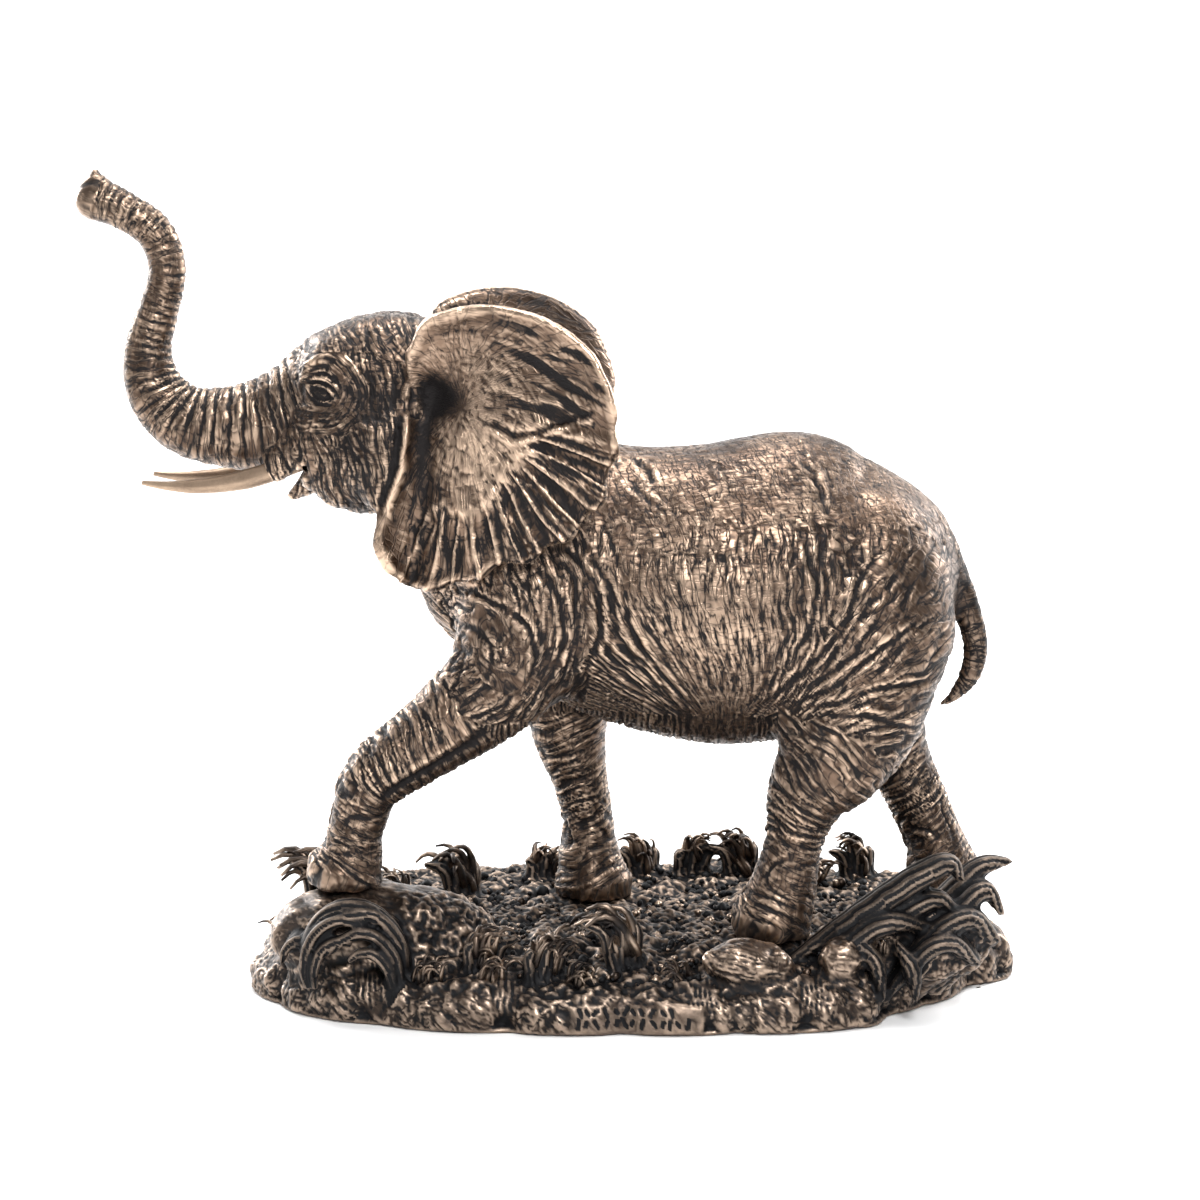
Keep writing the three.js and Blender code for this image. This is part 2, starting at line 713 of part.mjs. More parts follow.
// The ground is drawn in the figure's frame too, with its own sizes turned into drawn ones.
const drawn = 1 / figureScale;
const groundFront = feet.nearFront[0] - soleRadius - marginAhead * drawn;
const groundBack = feet.farHind[0] + soleRadius + marginBehind * drawn;
const ground = {
  middle: (groundFront + groundBack) / 2,
  halfLength: (groundBack - groundFront) / 2,
  halfWidth: -feet.nearHind[1] + soleRadius + marginBeside * drawn,
  bottom: -groundThickness * drawn,
  top: 6,
  rippleHeight: 0.4,
  nearFall: [0.35, 0.95], // shares of the half width over which the near edge falls
  farRise: 2.5,
  farRun: [0.3, 0.9], // shares of the half width over which the far edge rises
  frontFall: 7,
  frontRun: [0.82, 0.97], // shares of the half length over which the front end falls
  backFall: 4,
  backRun: [0.85, 1], // shares of the half length over which the back end falls
  squareness: 2.5, // two would be an ellipse
  lobes: 16,
  lobeDepth: 3.4,
  lobeInset: 2.4, // how far the valleys between the lobes are inside the oval
  cornerCut: 0.14, // share that the right near corner is cut back
  cornerStart: [-0.72, -0.5], // angles between which that cut begins
  cornerEnd: [-0.14, -0.02], // angles between which it ends
  flare: 1.5, // how far the foot of the side stands out
  flareRun: [0.2, 0.9], // shares of the thickness over which it does
  edgeRound: 9,
  edgeInset: 1.5,
  sideSlope: 0.85, // the side's distance is a little less steep than the true one
  soften: 3
};

// Height of the soil, which falls towards the near edge and rises towards the far one
function soilHeight(x, y) {
  const across = y / ground.halfWidth;
  const ripple = Math.sin(x * 0.21 + 1.3) * Math.sin(y * 0.27 + 0.4) + Math.sin(x * 0.13 - y * 0.17);
  const end = (x - ground.middle) / ground.halfLength;
  return ripple * ground.rippleHeight - edgeDrop * drawn * smoothstep(-across, ...ground.nearFall)
    + ground.farRise * smoothstep(across, ...ground.farRun)
    - ground.frontFall * smoothstep(-end, ...ground.frontRun)
    - ground.backFall * smoothstep(end, ...ground.backRun);
}

// Reach of the ground's lobed outline from its middle
function groundReach(angle) {
  const { squareness, cornerStart, cornerEnd } = ground;
  const oval = (Math.abs(Math.cos(angle) / ground.halfLength) ** squareness
    + Math.abs(Math.sin(angle) / ground.halfWidth) ** squareness) ** (-1 / squareness);
  const lobe = Math.abs(Math.sin((ground.lobes / 2) * angle + 0.9 * Math.sin(2 * angle) + 0.4));
  const corner = smoothstep(angle, ...cornerStart) * (1 - smoothstep(angle, ...cornerEnd));
  const bulge = ground.lobeDepth * Math.sqrt(lobe + 0.05);
  return oval * (1 - ground.cornerCut * corner) - ground.lobeInset + bulge;
}

const soilForm = {
  box: new THREE.Box3(
    new THREE.Vector3(ground.middle - ground.halfLength, -ground.halfWidth, ground.bottom),
    new THREE.Vector3(ground.middle + ground.halfLength, ground.halfWidth, ground.top)),
  soften: ground.soften,
  distance: (x, y, z) => {
    const ahead = x - ground.middle;
    const flare = ground.flare * smoothstep(-z / groundThickness, ...ground.flareRun);
    const beyond = Math.hypot(ahead, y) - groundReach(Math.atan2(y, ahead)) + ground.edgeInset - flare;
    const side = beyond * ground.sideSlope;
    return -blend(-side, -(z - soilHeight(x, y)), ground.edgeRound);
  }
};

// A blade of grass or leaf: a flattened limb from its root over its crest to its tip
function blade(root, crest, tip, width) {
  const thick = width * 0.6;
  const between = (a, b, share) => a.map((part, n) => part + (b[n] - part) * share);
  return limb([[...root, thick, width], [...between(root, crest, 0.55), thick, width],
    [...crest, thick * 0.9, width * 0.9], [...tip, 1.3, 1.3]], 1.6);
}

// A tuft of blades that lean the same way, fanned out around their root
function tuft(x, y, height, lean, count) {
  const blades = [];
  for (let n = 0; n < count; n++) {
    const fan = count > 1 ? n / (count - 1) - 0.5 : 0;
    const reach = height * (1 - 0.4 * Math.abs(fan));
    const rootZ = soilHeight(x, y) - 3;
    blades.push(blade([x + fan * 5, y + fan * 3, rootZ],
      [x + fan * 9 + lean * reach * 0.3, y + fan * 4, rootZ + 3 + reach * 0.8],
      [x + fan * 12 + lean * reach * 0.9, y + fan * 6, rootZ + 3 + reach], 3.4));
  }
  return blades;
}

const groundForms = [
  soilForm,
  // Rock under the leading forefoot
  lump([-72, -26, 0], [31, 17, 15.5], 4, 3, 6),
  lump([-56, -29, 0], [19, 12, 12.5], 4, 16, 10),
  // Strands that curl over in front of the rock
  ...[0, 1, 2, 3].map((n) => blade([-93 + 4 * n, -48 + n, -9], [-83 + 4 * n, -46 + n, 16 - 2.2 * n],
    [-60 + 2 * n, -48 - n, -5 - n], 4.2)),
  // Leaves that sweep up at the trailing end
  blade([46, -38, -2], [72, -38, 17], [90, -32, 26], 5.4),
  blade([54, -32, 0], [78, -31, 19], [98, -25, 23], 5),
  blade([60, -42, -5], [80, -40, 11], [99, -31, 14], 5.4),
  blade([72, -26, 0], [92, -24, 17], [106, -20, 25.5], 4.6),
  blade([74, -38, -8], [88, -33, 3], [102, -26, 0], 5.4),
  lump([80, -30, -2], [20, 11, 13], 4, -10),
  // Tufts along the far edge and between the feet
  ...tuft(-90, 8, 17, -0.3, 3),
  ...tuft(-50, 22, 12, -0.6, 4),
  ...tuft(-27, 42, 6, 0.3, 3),
  ...tuft(3, 46, 8, -0.5, 3),
  ...tuft(17, 44, 8, 0.7, 3),
  ...tuft(33, 46, 9, -0.4, 3),
  ...tuft(68, 42, 9, -0.4, 3),
  ...tuft(-43, -44, 9, 0.6, 3),
  ...tuft(-26, -48, 9, 0.5, 3),
  ...tuft(-3, -44, 15, -0.4, 3),
  // Stones by the near hind foot
  lump([31, -49, -2], [13, 8, 7], 2, 8, 8),
  lump([57, -46, -1], [7, 6, 6], 2, -12, 20)
];

// Drawn points become real ones, standing on the underside and centred on the ground.
function toReal(geometry) {
  return geometry.scale(figureScale, figureScale, figureScale)
    .translate(-ground.middle * figureScale, 0, groundThickness);
}

function sculpt(forms, step, triangles, grow = 0, ceiling = Infinity) {
  const rough = surface(sample(forms, step, grow, ceiling));
  return solidOf(toReal(geometryOf(thinOut(rough, triangles))));
}

// A block over one footprint that reaches from far below up to the given height
function blockUnder(foot, top) {
  const width = 2 * soleRadius * 1.5 * figureScale;
  const depth = groundThickness + 2 * soleRadius;
  const x = (foot[0] - ground.middle) * figureScale;
  const block = new THREE.BoxGeometry(width, width, depth);
  return solidOf(block.translate(x, foot[1] * figureScale, top - depth / 2));
}

function soleHeight(foot) {
  return groundThickness + foot[2] * figureScale;
}

// The tusk bends up from its root in the lip. Its sides are a cylinder's, drawn out and bent.
const tuskRoot = [-92.6, -13.6, 134.2];

function tusk(side, extra) {
  const geometry = new THREE.CylinderGeometry(1, 1, 1, tuskSides, tuskRings);
  const place = geometry.attributes.position;
  for (let n = 0; n < place.count; n++) {
    const share = place.getY(n) + 0.5;
    const radius = (tuskThickness / 2) * (1 - tuskTaper * share ** 2.2) + extra;
    const reach = tuskLength * share - (share === 0 ? extra : 0);
    const rise = tuskLength * (tuskLift * share * share - tuskSag * share);
    const inward = tuskInward * tuskLength * share;
    const slope = 2 * tuskLift * share - tuskSag;
    const tilt = Math.atan2(slope, tuskForward);
    const high = place.getX(n) * radius;
    const wide = place.getZ(n) * radius;
    place.setXYZ(n,
      (tuskRoot[0] - ground.middle) * figureScale - tuskForward * reach + high * Math.sin(tilt),
      side * (-tuskRoot[1] * figureScale - inward + wide),
      groundThickness + tuskRoot[2] * figureScale + rise + high * Math.cos(tilt));
  }
  if (side > 0) {
    const order = geometry.index.array;
    for (let n = 0; n < order.length; n += 3) {
      [order[n], order[n + 1]] = [order[n + 1], order[n]];
    }
  }
  return geometry;
}

const blocks = Object.values(feet).map((foot) => blockUnder(foot, soleHeight(foot)));
const deeperBlocks = Object.values(feet).map((foot) => blockUnder(foot, soleHeight(foot) - soleGap));
const belowLength = 3 * ground.halfLength * figureScale;
const belowWidth = 4 * ground.halfWidth * figureScale;
const belowDepth = 80; // more than anything reaches below the underside
const underside = solidOf(new THREE.BoxGeometry(belowLength, belowWidth, belowDepth)
  .translate(0, 0, -belowDepth / 2));

let elephantSolid = sculpt(figureForms, figureStep, figureTriangles);
for (const block of blocks) {
  elephantSolid = elephantSolid.subtract(block);
}
for (const side of [-1, 1]) {
  elephantSolid = elephantSolid.subtract(solidOf(tusk(side, socketGap)));
}

let legRoom = sculpt(legForms, figureStep, legRoomTriangles, ankleGap * drawn, legRoomTop);
for (const block of deeperBlocks) {
  legRoom = legRoom.subtract(block);
}
const groundSolid = sculpt(groundForms, groundStep, groundTriangles)
  .subtract(underside)
  .subtract(legRoom);

function piece(name, geometry, finish) {
  const mesh = new THREE.Mesh(geometry, new THREE.MeshStandardMaterial(finish));
  mesh.name = name;
  return mesh;
}

const statue = new THREE.Group();
statue.add(piece("elephant", geometryFrom(elephantSolid), finishes.skin));
statue.add(piece("ground_base", geometryFrom(groundSolid), finishes.soil));
statue.add(piece("left_tusk", geometryFrom(solidOf(tusk(-1, 0))), finishes.tusk));
statue.add(piece("right_tusk", geometryFrom(solidOf(tusk(1, 0))), finishes.tusk));

export default statue;
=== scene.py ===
import math
import time

import bpy
import numpy as np
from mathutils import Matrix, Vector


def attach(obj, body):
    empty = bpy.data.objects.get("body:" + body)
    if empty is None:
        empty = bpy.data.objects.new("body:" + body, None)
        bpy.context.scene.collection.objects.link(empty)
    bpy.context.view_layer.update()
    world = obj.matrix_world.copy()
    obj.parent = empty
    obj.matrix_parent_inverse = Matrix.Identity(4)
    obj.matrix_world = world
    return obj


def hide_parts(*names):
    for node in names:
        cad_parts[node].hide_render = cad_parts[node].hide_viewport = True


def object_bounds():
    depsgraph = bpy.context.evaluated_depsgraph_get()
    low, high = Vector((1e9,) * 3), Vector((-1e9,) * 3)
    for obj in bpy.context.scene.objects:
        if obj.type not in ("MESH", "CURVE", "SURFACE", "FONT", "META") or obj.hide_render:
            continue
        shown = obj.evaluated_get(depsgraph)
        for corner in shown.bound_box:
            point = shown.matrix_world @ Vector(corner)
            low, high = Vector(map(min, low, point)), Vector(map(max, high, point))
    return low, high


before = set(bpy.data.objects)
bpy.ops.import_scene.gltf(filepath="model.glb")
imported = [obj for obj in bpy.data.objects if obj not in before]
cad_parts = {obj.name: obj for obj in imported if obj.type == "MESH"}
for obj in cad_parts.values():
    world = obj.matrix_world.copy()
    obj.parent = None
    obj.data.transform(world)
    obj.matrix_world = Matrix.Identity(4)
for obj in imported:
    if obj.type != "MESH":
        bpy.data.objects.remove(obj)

import openvdb
from mathutils import Vector
from mathutils.kdtree import KDTree

# A cast elephant strides over rough ground with its trunk raised. Forms are drawn in millimetres
# with the soil at the hind feet at nought. They are lifted onto the underside when a piece is made.
cadBox = [list(corner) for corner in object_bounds()]
groundThickness = 19.0
millimetre = 0.001
began = time.perf_counter()


def report(stage):
    print("stage:", stage, round(time.perf_counter() - began, 1), "s", flush=True)


def smoothstep(value, low, high):
    share = np.clip((value - low) / (high - low), 0, 1)
    return share * share * (3 - 2 * share)


def window(value, start, full, fading, gone):
    return smoothstep(value, start, full) * (1 - smoothstep(value, fading, gone))


def bump(distance, width):
    return np.exp(-(distance / width) ** 2)


def blend(a, b, soften):
    overlap = np.maximum(soften - np.abs(a - b), 0) / soften
    return np.minimum(a, b) - overlap * overlap * soften * 0.25


def sectionDistance(a, b, c, radiusA, radiusB, radiusC):
    near = np.sqrt((a / radiusA) ** 2 + (b / radiusB) ** 2 + (c / radiusC) ** 2)
    slope = np.sqrt((a / radiusA ** 2) ** 2 + (b / radiusB ** 2) ** 2 + (c / radiusC ** 2) ** 2)
    return near * (near - 1) / np.maximum(slope, 1e-6)


def catmullRom(points, steps):
    points = np.asarray(points, float)
    padded = np.vstack([2 * points[0] - points[1], points, 2 * points[-1] - points[-2]])
    rows = []
    for n in range(len(points) - 1):
        before, here, there, after = padded[n:n + 4]
        leaving = 0.5 * (there - before)
        arriving = 0.5 * (after - here)
        for step in range(steps):
            t = step / steps
            rows.append(here + leaving * t + (3 * there - 3 * here - 2 * leaving - arriving) * t ** 2
                        + (2 * here - 2 * there + leaving + arriving) * t ** 3)
    rows.append(points[-1])
    return np.array(rows)


def followLine(knots, x, y, z):
    # Arc length, offsets and girth at the nearest place on a line of [x, y, z, half height, half width]
    best = None
    travelled = 0.0
    for n in range(len(knots) - 1):
        start, end = knots[n, :3], knots[n + 1, :3]
        along = end - start
        length = float(np.linalg.norm(along))
        along = along / length
        side = np.array([0.0, 1.0, 0.0]) - along * along[1]
        side /= np.linalg.norm(side)
        up = np.cross(along, side)
        dx, dy, dz = x - start[0], y - start[1], z - start[2]
        reach = np.clip(dx * along[0] + dy * along[1] + dz * along[2], 0, length)
        dx, dy, dz = dx - reach * along[0], dy - reach * along[1], dz - reach * along[2]
        share = reach / length
        found = [dx * dx + dy * dy + dz * dz, dx * up[0] + dy * up[1] + dz * up[2],
                 dx * side[0] + dy * side[1] + dz * side[2], dx * along[0] + dy * along[1] + dz * along[2],
                 knots[n, 3] + (knots[n + 1, 3] - knots[n, 3]) * share,
                 knots[n, 4] + (knots[n + 1, 4] - knots[n, 4]) * share, travelled + reach]
        if best is None:
            best = found
        else:
            closer = found[0] < best[0]
            best = [np.where(closer, new, old) for new, old in zip(found, best)]
        travelled += length
    return best[1:]


def limb(stations, soften):
    knots = catmullRom(stations, 6)
    reach = knots[:, 3:].max(1)[:, None]

    def distance(x, y, z):
        up, side, along, high, wide = followLine(knots, x, y, z)[:5]
        return sectionDistance(up, side, along, high, wide, np.minimum(high, wide))

    return {"low": (knots[:, :3] - reach).min(0), "high": (knots[:, :3] + reach).max(0),
            "distance": distance, "soften": soften, "knots": knots}


def lump(centre, radii, soften, tip=0, turn=0):
    middle = np.array(centre, float)
    tipped, turned = math.radians(tip), math.radians(turn)
    aboutY = np.array([[math.cos(tipped), 0, math.sin(tipped)], [0, 1, 0],
                       [-math.sin(tipped), 0, math.cos(tipped)]])
    aboutZ = np.array([[math.cos(turned), -math.sin(turned), 0],
                       [math.sin(turned), math.cos(turned), 0], [0, 0, 1]])
    back = (aboutZ @ aboutY).T

    def distance(x, y, z):
        dx, dy, dz = x - middle[0], y - middle[1], z - middle[2]
        own = [row[0] * dx + row[1] * dy + row[2] * dz for row in back]
        return sectionDistance(*own, *radii)

    reach = max(radii)
    return {"low": middle - reach, "high": middle + reach, "distance": distance, "soften": soften}


def hollow(form):
    return {**form, "away": True}


def acrossBody(form):
    low, high = form["low"].copy(), form["high"].copy()
    low[1], high[1] = -form["high"][1], -form["low"][1]
    return {**form, "low": low, "high": high, "distance": lambda x, y, z: form["distance"](x, -y, z)}


def closeTo(form, x, y, z, width):
    inside = np.ones(len(x), bool)
    for place, low, high in zip((x, y, z), form["low"] - width, form["high"] + width):
        inside &= (place > low) & (place < high)
    return inside


def joined(forms, x, y, z):
    # The joined distance at a list of points. A form only counts where it can reach.
    values = np.full(len(x), 1e3)
    for form in forms:
        inside = closeTo(form, x, y, z, form["soften"] + 6)
        if inside.any():
            away = form["distance"](x[inside], y[inside], z[inside])
            if form.get("away"):
                values[inside] = -blend(-values[inside], away, form["soften"])
            else:
                values[inside] = blend(values[inside], away, form["soften"])
    return values


def surface(forms, step):
    # Samples a coarse grid first, and then a fine one only near the surface
    solid = [form for form in forms if not form.get("away")]
    start = np.min([form["low"] for form in solid], 0) - 6 * step
    end = np.max([form["high"] for form in solid], 0) + 6 * step
    count = np.ceil((end - start) / (2 * step)).astype(int) + 1
    places = np.meshgrid(*(start[n] + 2 * step * np.arange(count[n]) for n in range(3)), indexing="ij")
    coarse = joined(forms, *(place.ravel() for place in places)).reshape(count)
    values = coarse.repeat(2, 0).repeat(2, 1).repeat(2, 2)
    near = np.nonzero(np.abs(values) < 5 * step)
    values[near] = joined(forms, *(start[n] + step * near[n] for n in range(3)))
    grid = openvdb.FloatGrid(1e3)
    grid.copyFromArray(values.astype(np.float32))
    points, quads = grid.convertToQuads(isovalue=0)
    return points * step + start, quads


edgeDirections = np.array([[1, 1, 0], [-1, 1, 0], [1, -1, 0], [-1, -1, 0], [1, 0, 1], [-1, 0, 1],
                           [1, 0, -1], [-1, 0, -1], [0, 1, 1], [0, -1, 1], [0, 1, -1], [0, -1, -1]],
                          np.float32)


def noise(x, y, z, seed):
    # Smooth gradient noise about nought, with a new value over about every unit
    order = np.random.default_rng(seed).permutation(256)
    order = np.concatenate([order, order])
    places = [np.asarray(c, np.float32) for c in np.broadcast_arrays(x, y, z)]
    floors = [np.floor(c) for c in places]
    parts = [c - f for c, f in zip(places, floors)]
    cells = [f.astype(np.int32) & 255 for f in floors]
    fades = [p * p * p * (p * (p * 6 - 15) + 10) for p in parts]
    total = 0
    for corner in range(8):
        i, j, k = corner & 1, corner >> 1 & 1, corner >> 2
        mixed = order[order[order[(cells[0] + i) & 255] + ((cells[1] + j) & 255)] + ((cells[2] + k) & 255)]
        towards = edgeDirections[mixed % 12]
        rise = (towards[..., 0] * (parts[0] - i) + towards[..., 1] * (parts[1] - j)
                + towards[..., 2] * (parts[2] - k))
        for fade, far in zip(fades, (i, j, k)):
            rise = rise * (fade if far else 1 - fade)
        total = total + rise
    return total


def makeMesh(name, points, faces):
    mesh = bpy.data.meshes.new(name)
    mesh.vertices.add(len(points))
    mesh.vertices.foreach_set("co", np.asarray(points, np.float32).ravel())
    mesh.loops.add(faces.size)
    mesh.loops.foreach_set("vertex_index", np.asarray(faces, np.int32).ravel())
    mesh.polygons.add(len(faces))
    mesh.polygons.foreach_set("loop_start", np.arange(0, faces.size, faces.shape[1], dtype=np.int32))
    mesh.update(calc_edges=True)
    mesh.validate()
    return mesh


def arraysOf(mesh):
    points = np.zeros(len(mesh.vertices) * 3, np.float32)
    mesh.vertices.foreach_get("co", points)
    faces = np.zeros(len(mesh.loops), np.int32)
    mesh.loops.foreach_get("vertex_index", faces)
    return points.reshape(-1, 3).astype(float), faces.reshape(len(mesh.polygons), -1)


def placeObject(name, data):
    thing = bpy.data.objects.new(name, data)
    bpy.context.scene.collection.objects.link(thing)
    return thing


def withModifier(mesh, kind, inputs=(), **settings):
    # The mesh as a modifier leaves it. The modifier goes away with its holder.
    holder = placeObject("holder", mesh)
    modifier = holder.modifiers.new(kind, kind)
    for key, value in settings.items():
        setattr(modifier, key, value)
    for identifier, value in dict(inputs).items():
        modifier[identifier] = value
    made = bpy.data.meshes.new_from_object(holder.evaluated_get(bpy.context.evaluated_depsgraph_get()))
    bpy.data.objects.remove(holder)
    return made


def normalsOf(points, faces):
    corners = faces.shape[1]
    first, second, third = (points[faces[:, n]] for n in range(3))
    across = np.cross(second - first, third - first)
    if corners == 4:
        across = np.cross(third - first, points[faces[:, 3]] - second)
    total = np.zeros_like(points)
    for n in range(corners):
        for axis in range(3):
            total[:, axis] += np.bincount(faces[:, n], across[:, axis], len(points))
    return total / np.maximum(np.linalg.norm(total, axis=1), 1e-12)[:, None]


def smoothed(points, faces, rounds):
    # Each point takes the mean of the points that it shares a face with
    corners = faces.shape[1]
    count = sum(np.bincount(faces[:, n], minlength=len(points)) for n in range(corners)) * corners
    for turn in range(rounds):
        means = [column[faces].sum(1) for column in points.T]
        columns = [sum(np.bincount(faces[:, n], mean, len(points)) for n in range(corners)) for mean in means]
        points = np.stack(columns, -1) / np.maximum(count, 1)[:, None]
    return points


def refine(points, faces):
    return arraysOf(withModifier(makeMesh("rough", points, faces), "SUBSURF", levels=1, render_levels=1))


def carved(forms, build, carving, lowest):
    # The joined forms moved out by their carving, how proud each point then stands, and the carving
    points, faces = refine(*surface(forms, build["step"]))
    normals = normalsOf(points, faces)
    relief, *washes = carving(points, normals)
    floor = lowest(points)
    points = points + normals * relief[:, None]
    points[:, 2] = np.maximum(points[:, 2], floor)
    plain = smoothed(points, faces, 4)
    return points, faces, ((points - plain) * normals).sum(1), relief, washes


boxMargin = 0.02


def makePiece(name, points, faces, attributes, triangles, material, node):
    # Lifts the drawn points onto the underside, thins them to a budget and rides the piece on its body
    if faces.shape[1] == 4:
        faces = np.vstack([faces[:, [0, 1, 2]], faces[:, [0, 2, 3]]])
    lifted = points + [0, 0, groundThickness]
    mesh = makeMesh(name, lifted, faces)
    if len(faces) > triangles:
        mesh = withModifier(mesh, "DECIMATE", ratio=triangles / len(faces))
    thinned, thinFaces = arraysOf(mesh)
    tree = KDTree(len(lifted))
    for n, place in enumerate(lifted):
        tree.insert(place, n)
    tree.balance()
    nearest = np.array([tree.find(place)[1] for place in thinned])
    low, high = np.array(cadBox) / millimetre
    thinned = np.clip(thinned, low + boxMargin, high - boxMargin)
    mesh = makeMesh(name, thinned * millimetre, thinFaces)
    mesh.polygons.foreach_set("use_smooth", np.ones(len(mesh.polygons), bool))
    for key, values in attributes.items():
        kind, field = ("FLOAT", "value") if values.ndim == 1 else ("FLOAT_VECTOR", "vector")
        layer = mesh.attributes.new(key, kind, "POINT")
        layer.data.foreach_set(field, values[nearest].astype(np.float32).ravel())
    mesh.materials.append(material)
    piece = placeObject(name, mesh)
    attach(piece, "root")
    if node:
        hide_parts(node)
    print("piece:", name, len(mesh.polygons), "triangles", flush=True)


def shaderTree(name):
    material = bpy.data.materials.new(name)
    material.use_nodes = True
    tree = material.node_tree
    return material, tree, tree.nodes["Principled BSDF"]


def addNode(tree, kind, settings=(), inputs=()):
    node = tree.nodes.new(kind)
    for key, value in dict(settings).items():
        setattr(node, key, value)
    for key, value in dict(inputs).items():
        if isinstance(value, bpy.types.NodeSocket):
            tree.links.new(value, node.inputs[key])
        else:
            node.inputs[key].default_value = value
    return node


def noiseNode(tree, place, scale, detail, roughness=0.6, stretch=(1, 1, 1)):
    moved = addNode(tree, "ShaderNodeMapping", inputs={"Vector": place, "Scale": stretch}).outputs[0]
    return addNode(tree, "ShaderNodeTexNoise", inputs={
        "Vector": moved, "Scale": scale, "Detail": detail, "Roughness": roughness}).outputs["Fac"]


def ramp(tree, value, *stops):
    node = addNode(tree, "ShaderNodeValToRGB", inputs={"Fac": value})
    for element, (place, grey) in zip(node.color_ramp.elements, stops):
        element.position, element.color = place, (grey, grey, grey, 1)
    return node.outputs["Color"]


def mixColours(tree, share, first, second):
    return addNode(tree, "ShaderNodeMix", {"data_type": "RGBA"}, {0: share, 6: first, 7: second}).outputs[2]


def mathNode(tree, kind, first, second):
    return addNode(tree, "ShaderNodeMath", {"operation": kind}, {0: first, 1: second}).outputs[0]


def bronze(name, look):
    # Dark wash in the recesses, brown metal between, and worn gold on what stands out, where painted
    # highlights also add gold
    material, tree, shader = shaderTree(name)
    depth, wearAndHighlight, folds = (addNode(tree, "ShaderNodeAttribute", {"attribute_name": key}).outputs[output]
                          for key, output in (("depth", "Fac"), ("wearAndHighlight", "Fac"), ("folds", "Vector")))

    def plus(first, second):
        return mathNode(tree, "ADD", first, second)

    def minus(first, second):
        return mathNode(tree, "SUBTRACT", first, second)

    def times(first, second):
        return mathNode(tree, "MULTIPLY", first, second)

    def foldLines(stretch):
        fold = noiseNode(tree, folds, 1.0, 1.5, 0.5, stretch)
        away = mathNode(tree, "ABSOLUTE", minus(fold, 0.5), 0.0)
        return ramp(tree, away, (0.0, 1), (look["folds"], 0))

    place = addNode(tree, "ShaderNodeTexCoord").outputs["Object"]
    cloud = noiseNode(tree, place, 30, 4)
    grain = noiseNode(tree, place, 1100, 4, 0.7)
    speckle = noiseNode(tree, place, 90, 5)
    brown = mixColours(tree, ramp(tree, cloud, (0.38, 0), (0.64, 1)), look["dark"], look["brown"])
    # Gold comes from rubbed wear on proud places and from painted highlights and painted glints
    rubbedAndHighlit = plus(times(wearAndHighlight, 0.7), times(speckle, 0.7))
    gold = mixColours(tree, ramp(tree, rubbedAndHighlit, (0.42, 0), (1.0, 1)), brown, look["gold"])
    crack = grain
    if "folds" in look:
        crack = mathNode(tree, "MAXIMUM", foldLines((1, 1, 1)), times(foldLines((0.2, 4.6, 1)), 0.6))
    sunk = plus(depth, times(crack, look["line"]))
    recess = ramp(tree, plus(sunk, times(grain, 0.2)), (0.22, 0), (0.9, 1))
    height = minus(times(grain, 0.5), times(crack, 0.8))
    raised = addNode(tree, "ShaderNodeBump", inputs={
        "Height": height, "Strength": look["bump"], "Distance": 0.3 * millimetre})
    rough = plus(times(recess, 0.28), times(grain, 0.2))
    for socket, value in (("Base Color", mixColours(tree, recess, gold, look["recess"])),
                          ("Roughness", plus(rough, look["rough"] - 0.1)),
                          ("Metallic", minus(look["metal"], times(recess, 0.35))),
                          ("Normal", raised.outputs[0])):
        tree.links.new(value, shader.inputs[socket])
    return material


feet = {"nearFront": (-81.5, -24.5, 14.7), "farFront": (-12.2, 22, 0.4),
        "nearHind": (38.5, -25, 0), "farHind": (92.5, 24, 1)}
soleRadius = 12.5


def footStation(foot, rise, high, wide):
    return [feet[foot][0], feet[foot][1], feet[foot][2] + rise, high, wide]


ear = {
    "middle": (-38, 142), "root": -62, "rootOut": 25, "swingOut": 31, "swingOver": 40, "thick": 3.6,
    "curl": 7, "hole": (-55, 153), "ribs": 12,
    # Reach from the middle every 15 degrees, from straight back, over the top and round
    "reach": np.array([32.5, 33.4, 34.6, 36, 36, 36, 36.4, 37, 37.6, 34, 28.8, 27,
                       27, 31, 39.4, 47.4, 50, 42.6, 35.6, 34, 33, 32.8, 33, 32.4]),
}


def earReach(angle):
    reach = ear["reach"]
    place = (angle / (2 * np.pi) * len(reach)) % len(reach)
    first = np.floor(place).astype(int) % len(reach)
    share = place - np.floor(place)
    eased = share * share * (3 - 2 * share)
    return reach[first] * (1 - eased) + reach[(first + 1) % len(reach)] * eased


def earRib(x, z):
    fan = np.arctan2(x - ear["hole"][0], ear["hole"][1] - z)
    return np.cos(2 * fan * ear["ribs"]) * window(fan, -0.35, 0.1, 1.3, 1.75)


def earSheet(x, z):
    back, up = x - ear["middle"][0], z - ear["middle"][1]
    angle = np.arctan2(up, back)
    fromHole = np.hypot(x - ear["hole"][0], z - ear["hole"][1])
    rimShare = smoothstep(np.hypot(back, up) / earReach(angle), 0.62, 1.05)
    topShare = window(angle, -0.35, 0.5, 2, 2.7)
    behind = np.maximum(x - ear["root"], 0)
    return (ear["rootOut"] + ear["swingOut"] * (1 - np.exp(-behind / ear["swingOver"]))
            + np.maximum(ear["root"] - x, 0) * 0.3 + rimShare * topShare * ear["curl"]
            - 5 * np.exp(-(fromHole / 7) ** 2) + earRib(x, z) * smoothstep(fromHole, 16, 40) * 0.9)


def earDistance(x, y, z):
    apart = 0.5
    back, up = x - ear["middle"][0], z - ear["middle"][1]
    outline = earReach(np.arctan2(up, back)) + earRib(x, z) * 1.1
    out = earSheet(x, z)
    slopeX, slopeZ = (earSheet(x + apart, z) - out) / apart, (earSheet(x, z + apart) - out) / apart
    slope = np.sqrt(1 + slopeX ** 2 + slopeZ ** 2)
    through = np.abs(-y - out) / slope - ear["thick"] / 2
    across = (np.hypot(back, up) - outline) * 0.9
    return -blend(-through, -across, 1.8)


